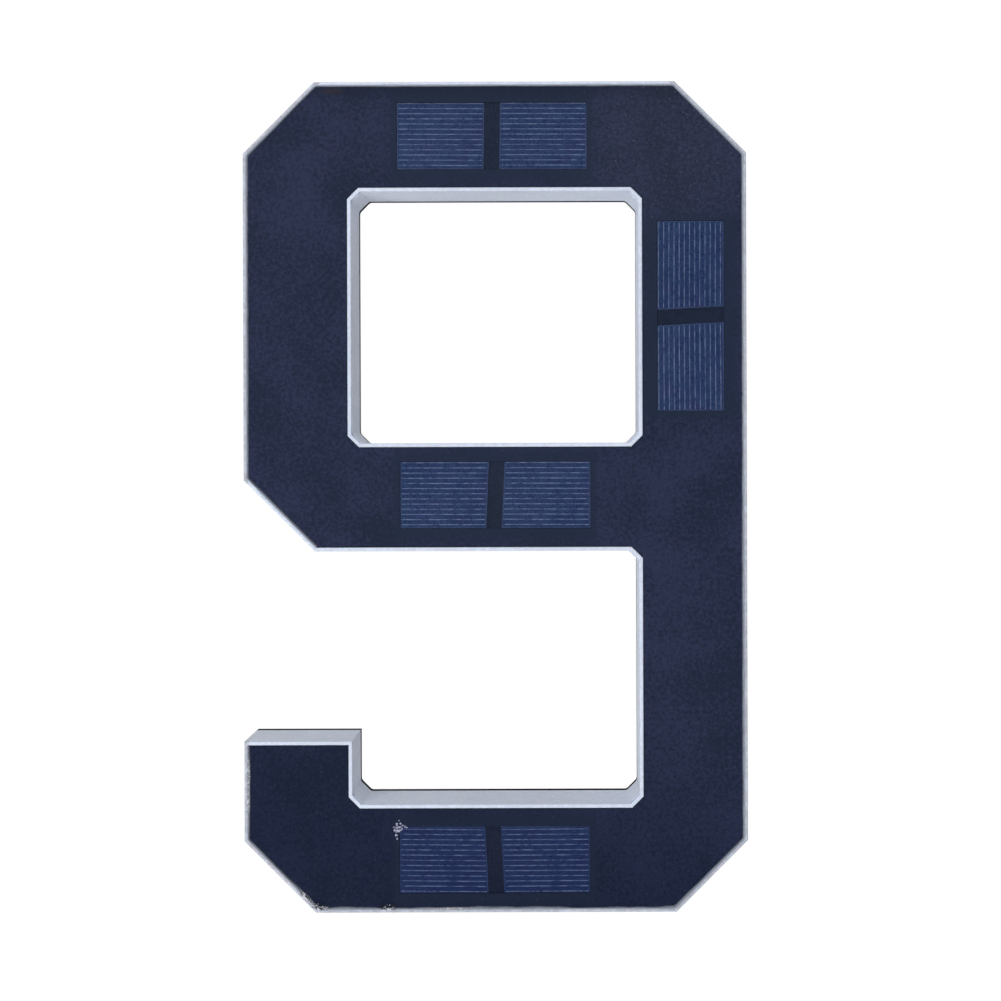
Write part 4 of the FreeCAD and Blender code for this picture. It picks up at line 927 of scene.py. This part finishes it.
def follow(corners, closed, step, soften):
    """Points every step along straight runs, and the unit vector to the left of the way.

    Place and direction are means over soften to either side, so corners come out round.
    """
    turns = np.array(corners + corners[:1] if closed else corners, float)
    runs = np.hypot(*np.diff(turns, axis=0).T)
    marks = np.concatenate([[0], np.cumsum(runs)])
    total = marks[-1]
    count = int(total / step)
    length = np.linspace(0, total, count, endpoint=not closed)

    def at(spot):
        spot = spot % total if closed else np.clip(spot, 0, total)
        return np.stack([np.interp(spot, marks, turns[:, axis]) for axis in (0, 1)], -1)

    before, here, after = at(length - soften), at(length), at(length + soften)
    way = after - before
    way /= np.linalg.norm(way, axis=1, keepdims=True)
    left = np.stack([-way[:, 1], way[:, 0]], -1)
    return (before + here + after) / 3, left, length


def sweep(centre, left, across, height):
    """Points at centre + left * across, at the height given along Y.

    across and height are (points, profile) arrays in metres.
    """
    flat = centre[:, None, :] + left[:, None, :] * across[:, :, None]
    return np.stack([flat[..., 0], height, flat[..., 1]], -1).reshape(-1, 3)


def add_bead(name, path, across, height, material, closed, attribute=None):
    """A bead along a path. An open one ends in two flat caps."""
    centre, left = path
    points = sweep(centre, left, across, height)
    rows, columns = across.shape
    faces = grid_faces(rows, columns, closed)
    if not closed:
        faces.append(list(range(columns)))
        faces.append(list(range((rows - 1) * columns, rows * columns))[::-1])
    add_piece(name, points, faces, material, attribute)


# %% [markdown]
# The laminate lies in the rim with a narrow gap all round, filled with a dark sealant.
# Its near-black is painted shade: the gap's shadow, as a fine dark line. The figure's
# outline is worked out here for any distance from its edge, from the sizes of the housing
# and a few lengths of its design: every bar is one stroke wide and every outer corner is
# cut at 45 degrees.

# %% Sealant in the gap, with its painted shadow line
CUT_LOSS = 2 - math.sqrt(2)
SEALANT_SINK, SEALANT_HEIGHT = 0.06 * MM, 0.14 * MM
SEALANT_STEP, SEALANT_SOFTEN = 1.0 * MM, 0.4 * MM


def figure_outline(inset):
    """The figure's outer edge, from the lower left cut of the middle bar, clockwise."""
    right, top = cad_high[0] - inset, cad_high[2] - inset
    left, bottom = -right, -top
    cut = OUTER_CUT - CUT_LOSS * inset
    leg = INNER_CUT + CUT_LOSS * inset
    tail_side = cad_low[0] + STROKE - inset
    floor = cad_low[2] + STROKE - inset
    bay_side = cad_high[0] - STROKE + inset
    roof = -STROKE / 2 + inset
    tail_roof = cad_low[2] + TAIL_HEIGHT - inset
    outer = [
        (left + cut, roof), (left, roof + cut), (left, top - cut), (left + cut, top),
        (right - cut, top), (right, top - cut), (right, bottom + cut), (right - cut, bottom),
        (left + cut, bottom), (left, bottom + cut), (left, tail_roof),
    ]
    bay = [
        (tail_side, tail_roof), (tail_side, floor + leg), (tail_side + leg, floor),
        (bay_side - leg, floor), (bay_side, floor + leg),
        (bay_side, roof - leg), (bay_side - leg, roof),
    ]
    return outer, bay


def window_outline(inset):
    """The window's edge, grown by inset, clockwise."""
    side = cad_high[0] - STROKE + inset
    low, high = STROKE / 2 - inset, cad_high[2] - STROKE - WINDOW_DROP + inset
    leg = INNER_CUT + CUT_LOSS * inset
    return [
        (-side, low + leg), (-side, high - leg), (-side + leg, high), (side - leg, high),
        (side, high - leg), (side, low + leg), (side - leg, low), (-side + leg, low),
    ]


def add_sealant_and_shade():
    """A half-round bead that fills the gap: a circle squeezed to the gap's width."""
    # Near-black, painted shade for the gap's shadow line.
    dark = two_tone(
        "sealant_and_gap_shade", colour(0.008, 0.012, 0.02), colour(0.02, 0.025, 0.04),
        (1.5, 3.0), (0.35, 0.65), 0.05, Roughness=0.6, Specular_IOR_Level=0.15,
    )
    turn = full_turn(8)
    middle = RIM_WIDTH + PANEL_GAP / 2
    outer, bay = figure_outline(middle)
    lines = {"outer_sealant_and_shade": outer + bay, "window_sealant_and_shade": window_outline(middle)}
    for name, corners in lines.items():
        centre, left, length = follow(corners, True, SEALANT_STEP, SEALANT_SOFTEN)
        swell = 1 + 0.12 * np.sin(length / (1.7 * MM)) * np.sin(length / (4.1 * MM))
        across = 0.62 * PANEL_GAP * np.cos(turn)[None, :] * swell[:, None]
        rise = SEALANT_HEIGHT * np.sin(turn)[None, :] * swell[:, None]
        height = film_front - SEALANT_SINK + rise
        add_bead(name, (centre, left), across, height, dark, True)


add_sealant_and_shade()

# %% [markdown]
# Along the outer edge the laminate was pressed into clear glue, and some of it came out
# over the rim. Its grey, darkest over the film, is painted shade along the rim's inner edge.
# It is thin and uneven, rises in slow waves at the foot, and turns rough and speckled where
# it caught dirt. One profile does it: low over the film, up the step to the rim, and thin
# again on the rim. Its width follows a sum of slow waves. Across the profile an attribute
# runs from -1, on the film, to 1, on the rim, and the finish fades out with it at both sides.

# %% Glue line, with painted shade
GLUE_STEP = 0.45 * MM
GLUE_IN = 0.62 * MM
GLUE_OUT = 0.72 * MM
PROFILE = np.array([-1.0, -0.62, -0.3, -0.05, 0.2, 0.6, 1.0])
LIFT = np.array([0.0, 0.25, 0.8, 1.1, 1.12, 1.06, 1.0])
DIRTY_PLACES = (pixel_place(320, 908), pixel_place(388, 908), pixel_place(306, 896))
ROUGH_PLACES = (pixel_place(246, 775), pixel_place(246, 800), pixel_place(450, 908))
# The glue's two tones are painted shade: dark over the film, grey on the rim.
GLUE_SHADE_ON_FILM, GLUE_SHADE_ON_RIM = colour(0.060, 0.075, 0.12), colour(0.41, 0.44, 0.53)
GLUE_CLUMP, ROUGH_GREY = colour(0.17, 0.19, 0.24), colour(0.24, 0.25, 0.27)
GRIME, PALE_SPECK = colour(0.012, 0.013, 0.013), colour(0.78, 0.80, 0.84)
# The glue is uneven from FOOT_HEIGHT down, and most so from FOOT_REACH below that.
FOOT_HEIGHT, FOOT_REACH = 12 * MM, 8 * MM
GLUE_DEPTH = 0.12 * MM


def glue_and_shade_finish():
    """Glue in painted shade, with pale and dark specks, more of them near the rough places."""
    material, shader, vector = start_material("edge_glue_and_shade", Specular_IOR_Level=0.3)
    tree = material.node_tree
    across = place("ShaderNodeAttribute", tree=tree, attribute_name="across").outputs["Fac"]

    def near(places, radius):
        strongest = None
        for x, z in places:
            away = distance(vector, (x / MM, rim_front / MM, z / MM))
            share = ramp(away, radius, radius * 0.3)
            strongest = share if strongest is None else larger(strongest, share)
        return strongest

    dirty, rough_spot = near(DIRTY_PLACES, 3.2), near(ROUGH_PLACES, 8.0)
    clumps = noise(vector, 1.6, 4.0, 0.75)
    specks = noise(vector, 1.9, 3.0, 0.8)
    spoilt = larger(dirty, rough_spot)
    # Painted shade, darkest over the film.
    tone = mix(ramp(across, -1.0, 0.4), GLUE_SHADE_ON_FILM, GLUE_SHADE_ON_RIM)
    tone = mix(ramp(clumps, 0.4, 0.62, 0.0, 0.35), tone, GLUE_CLUMP)
    tone = mix(times(rough_spot, 0.7), tone, ROUGH_GREY)
    tone = mix(times(dirty, ramp(specks, 0.53, 0.47)), tone, GRIME)
    pale = ramp(specks, 0.52, 0.57, 0.0, 0.9)
    tone = mix(times(spoilt, pale), tone, PALE_SPECK)
    inner = ramp(across, -1.0, -0.5)
    ragged = times_plus(clumps, 0.9, across)
    outer = ramp(ragged, 1.3, 0.55)
    thick = ramp(noise(vector, 0.12, 3.0), 0.35, 0.65, 0.5, 0.85)
    thick = larger(thick, spoilt)
    alpha = times(times(inner, outer), thick)
    feed(shader, Base_Color=tone, Alpha=alpha)
    feed(shader, Normal=bump(plus(clumps, specks), 0.08 * MM, 0.8))
    return material


def add_glue_and_shade_line():
    """Profile lifted from the film to the rim, its width a sum of slow waves along it."""
    outer, _ = figure_outline(RIM_WIDTH)
    centre, left, length = follow(outer, False, GLUE_STEP, 0.5 * MM)
    waves = 0.5 * np.sin(length / (9.0 * MM)) + 0.3 * np.sin(length / (3.1 * MM) + 1.0)
    waves += 0.2 * np.sin(length / (1.3 * MM) + 2.0)
    x, z = centre.T
    foot = np.clip((cad_low[2] + FOOT_HEIGHT - z) / FOOT_REACH, 0, 1)
    # Less of it came out on the upper right and at the top.
    upper_right = np.clip(x / (70 * MM), 0, 1) * np.clip((z + 20 * MM) / (60 * MM), 0, 1)
    top_side = np.clip((z - 100 * MM) / (20 * MM), 0, 1)
    spread = 1 - 0.35 * np.maximum(upper_right, top_side)
    inward = GLUE_IN * (spread * (1 + (0.12 + 0.55 * foot) * waves))[:, None]
    outward = GLUE_OUT * (1 + (0.10 + 0.15 * foot) * waves)[:, None]
    # The path is clockwise, so left of the way is outwards.
    top = np.where(PROFILE < 0, PROFILE * inward, PROFILE * outward)
    step = film_front - rim_front
    rise = film_front - step * LIFT[None, :] - 0.02 * MM * (1 - PROFILE**2)[None, :]
    top_height = np.repeat(rise, len(length), axis=0)
    across = np.concatenate([top, top[:, ::-1] * 0.97], 1)
    height = np.concatenate([top_height, top_height[:, ::-1] + GLUE_DEPTH], 1)
    share = np.tile(np.concatenate([PROFILE, PROFILE[::-1]]), len(length))
    add_bead("glue_and_shade_line", (centre, left), across, height, glue_and_shade_finish(), False, share)


add_glue_and_shade_line()

# %% [markdown]
# Crumbs of old glue and dirt cling to the foot of the rim, and at one corner of a cell the
# film is chipped and shows as a few pale flakes. Each crumb is a ball on a grid of two
# angles, whose radius swells in lumps with seeded phases, pressed flat onto its surface.

# %% Crumbs and chips
RINGS, SIDES = 7, 10


def pebbles(name, spots, sizes, flatness, level, material, seed):
    """Lumpy balls: radius = size * (1 + lumps of both angles), squashed along Y."""
    dice = np.random.default_rng(seed)
    spots = np.array(spots)
    count = len(spots)
    down = np.linspace(0, math.pi, RINGS)[None, :, None]
    round_it = full_turn(SIDES)[None, None, :]
    phases = dice.uniform(0, 2 * math.pi, (4, count, 1, 1))
    stretch = dice.uniform(0.7, 1.3, (count, 1, 1))
    lumps = 0.22 * np.sin(down) * np.sin(3 * round_it + phases[0])
    lumps += 0.15 * np.sin(down) * np.sin(2 * round_it + phases[1])
    lumps += 0.12 * np.sin(2 * down + phases[2])
    radius = sizes[:, None, None] * (1 + lumps)
    x = radius * np.sin(down) * np.cos(round_it) * stretch
    z = radius * np.sin(down) * np.sin(round_it) / stretch
    tilt = phases[3]
    right = spots[:, 0, None, None] + x * np.cos(tilt) - z * np.sin(tilt)
    up = spots[:, 1, None, None] + x * np.sin(tilt) + z * np.cos(tilt)
    points = np.stack([right, level - flatness * radius * np.cos(down), up], -1)
    first_points = RINGS * SIDES * np.arange(count)[:, None, None]
    faces = (np.array(grid_faces(RINGS, SIDES))[None] + first_points).reshape(-1, 4)
    add_piece(name, points.reshape(-1, 3), faces.tolist(), material)


def speckled(name, dark, pale, edges):
    """Two tones that change from crumb to crumb."""
    constants = {"Roughness": 0.7, "Specular_IOR_Level": 0.25}
    return two_tone(name, dark, pale, (1.1, 2.0, 0.7), edges, 0.1, **constants)


def scatter(places, count, reach, flatness, seed):
    """Seeded spots, even over a flattened disc round each place."""
    dice = np.random.default_rng(seed)
    spots = []
    for x, z in places:
        away = reach * dice.uniform(0, 1, count) ** 0.5
        angle = dice.uniform(0, 2 * math.pi, count)
        spots.append(np.stack([x + away * np.cos(angle), z + flatness * away * np.sin(angle)], -1))
    return np.concatenate(spots)


CRUMB_PLACES = (pixel_place(321, 907.5), pixel_place(388, 907.5))
CRUMB_COUNT, CRUMB_REACH, CRUMB_SINK = 60, 2.9 * MM, 0.05 * MM
crumb_spots = scatter(CRUMB_PLACES, CRUMB_COUNT, CRUMB_REACH, 0.38, 3)
crumb_sizes = np.random.default_rng(4).uniform(0.09, 0.18, len(crumb_spots)) * MM
crumb_grey = speckled(
    "crumb_grey", colour(0.008, 0.009, 0.011), colour(0.62, 0.65, 0.72), (0.52, 0.57)
)
crumb_level = rim_front + CRUMB_SINK
pebbles("glue_crumbs", crumb_spots, crumb_sizes, 0.6, crumb_level, crumb_grey, 5)

# The chips fill a corner of the cell and thin out along its two edges. Their places and
# sizes are in widths of a pixel.
chip_corner = pixel_place(396, 828)
CHIP_ROW = ((0.5, 3.5), (4.1, 4.0), (6.5, 2.3), (8.9, 1.1), (10.6, 0.2), (5.8, -1.3))
CHIP_HEAP = ((-1.4, 0.4), (1.0, -0.3), (3.6, 0.2), (-1.4, -2.7), (0.5, -3.7), (2.9, -3.2))
CHIP_COLUMN = ((0.0, -7.5), (1.0, -10.9), (2.9, 7.1))
chip_spots = [
    (chip_corner[0] + right * PIXEL, chip_corner[1] + up * PIXEL)
    for right, up in CHIP_ROW + CHIP_HEAP + CHIP_COLUMN
]
chip_sizes = np.array([1.4, 1.3, 1.3, 1.1, 0.9, 1.3] + [1.45] * 6 + [1.3, 1.2, 0.7]) * PIXEL
chip_pale = speckled(
    "chip_pale", colour(0.10, 0.11, 0.18), colour(0.46, 0.47, 0.62), (0.42, 0.58)
)
pebbles("pale_chips", chip_spots, chip_sizes, 0.25, film_front, chip_pale, 8)

# %% [markdown]
# In the finger recess of the switch, a ring and a bar mark off and on. They are thin
# raised beads on the floor of the recess, and the only marks on the part.

# %% Switch marks
MARK_REACH = 5.2 * MM
MARK_SIZE = 0.75 * MM
MARK_WIDTH, MARK_HEIGHT = 0.17 * MM, 0.1 * MM
RECESS_DEPTH = 1.6 * MM


def add_marks():
    """A half-round bead along a circle, and one along a short line."""
    white = dull_sheet("mark_white", colour(0.62, 0.62, 0.6), colour(0.72, 0.72, 0.7))
    low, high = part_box("switch_body")
    middle_x, middle_z = (low.x + high.x) / 2, (low.z + high.z) / 2
    turn, profile = full_turn(24), full_turn(8)
    ring = np.stack([np.cos(turn), np.sin(turn)], -1) * MARK_SIZE
    bar = np.array([(0, -1), (0, -0.33), (0, 0.33), (0, 1)]) * MARK_SIZE
    off_x, on_x = middle_x - MARK_REACH, middle_x + MARK_REACH
    for name, x, path, closed in (("mark_off", off_x, ring, True), ("mark_on", on_x, bar, False)):
        ahead = np.roll(path, -1, 0) - np.roll(path, 1, 0) if closed else np.gradient(path, axis=0)
        ahead /= np.linalg.norm(ahead, axis=1, keepdims=True)
        left = np.stack([-ahead[:, 1], ahead[:, 0]], -1)
        across = np.tile(MARK_WIDTH * np.cos(profile), (len(path), 1))
        height = np.tile(MARK_HEIGHT * np.sin(profile) - RECESS_DEPTH, (len(path), 1))
        centre = path + (x, middle_z)
        add_bead(name, (centre, left), across, height, white, closed)


add_marks()

# %% [markdown]
# The sign hangs on a wall, so nothing touches it in the photograph, whose background is
# pure white. A pale floor lies well below it and takes its soft shadow. The world and the
# floor show white to the camera and to anything that reflects or lets light through, and
# still light the object at the plain level that was set above.

# %% Floor and background
FLOOR_SIZE = 6.0
FLOOR_LIFT = 0.75
floor_height = cad_low[2] - 0.9


def seen_directly(tree):
    """One for rays from the camera, or ones that were mirrored or let through."""
    ray = place("ShaderNodeLightPath", tree=tree).outputs
    either = larger(ray["Is Camera Ray"], ray["Is Transmission Ray"])
    return larger(either, ray["Is Glossy Ray"])


def make_floor():
    """A square of floor: a grid of two by two points, at one height."""
    corners = np.array([(-1, -1), (1, -1), (1, 1), (-1, 1)]) * FLOOR_SIZE / 2
    mesh = bpy.data.meshes.new("floor")
    mesh.from_pydata([(x, y, floor_height) for x, y in corners], [], [(0, 1, 2, 3)])
    floor = bpy.data.objects.new("floor", mesh)
    bpy.context.scene.collection.objects.link(floor)
    material, shader, _ = start_material(
        "pale_floor",
        Base_Color=colour(0.86, 0.86, 0.86), Roughness=0.9, Emission_Color=colour(1.0, 1.0, 1.0),
    )
    seen = seen_directly(material.node_tree)
    feed(shader, Emission_Strength=times(seen, FLOOR_LIFT))
    mesh.materials.append(material)


def make_world():
    """White where it is seen or mirrored, and SKY_LEVEL where it lights."""
    world = bpy.data.worlds.new("sky")
    bpy.context.scene.world = world
    world.use_nodes = True
    tree = world.node_tree
    sky = tree.nodes["Background"]
    sky.inputs["Color"].default_value = colour(1.0, 1.0, 1.0)
    level = ramp(seen_directly(tree), 0.0, 1.0, SKY_LEVEL, 1.0)
    tree.links.new(level, sky.inputs["Strength"])


make_floor()
make_world()
print(f"floor at {floor_height:.3f}")
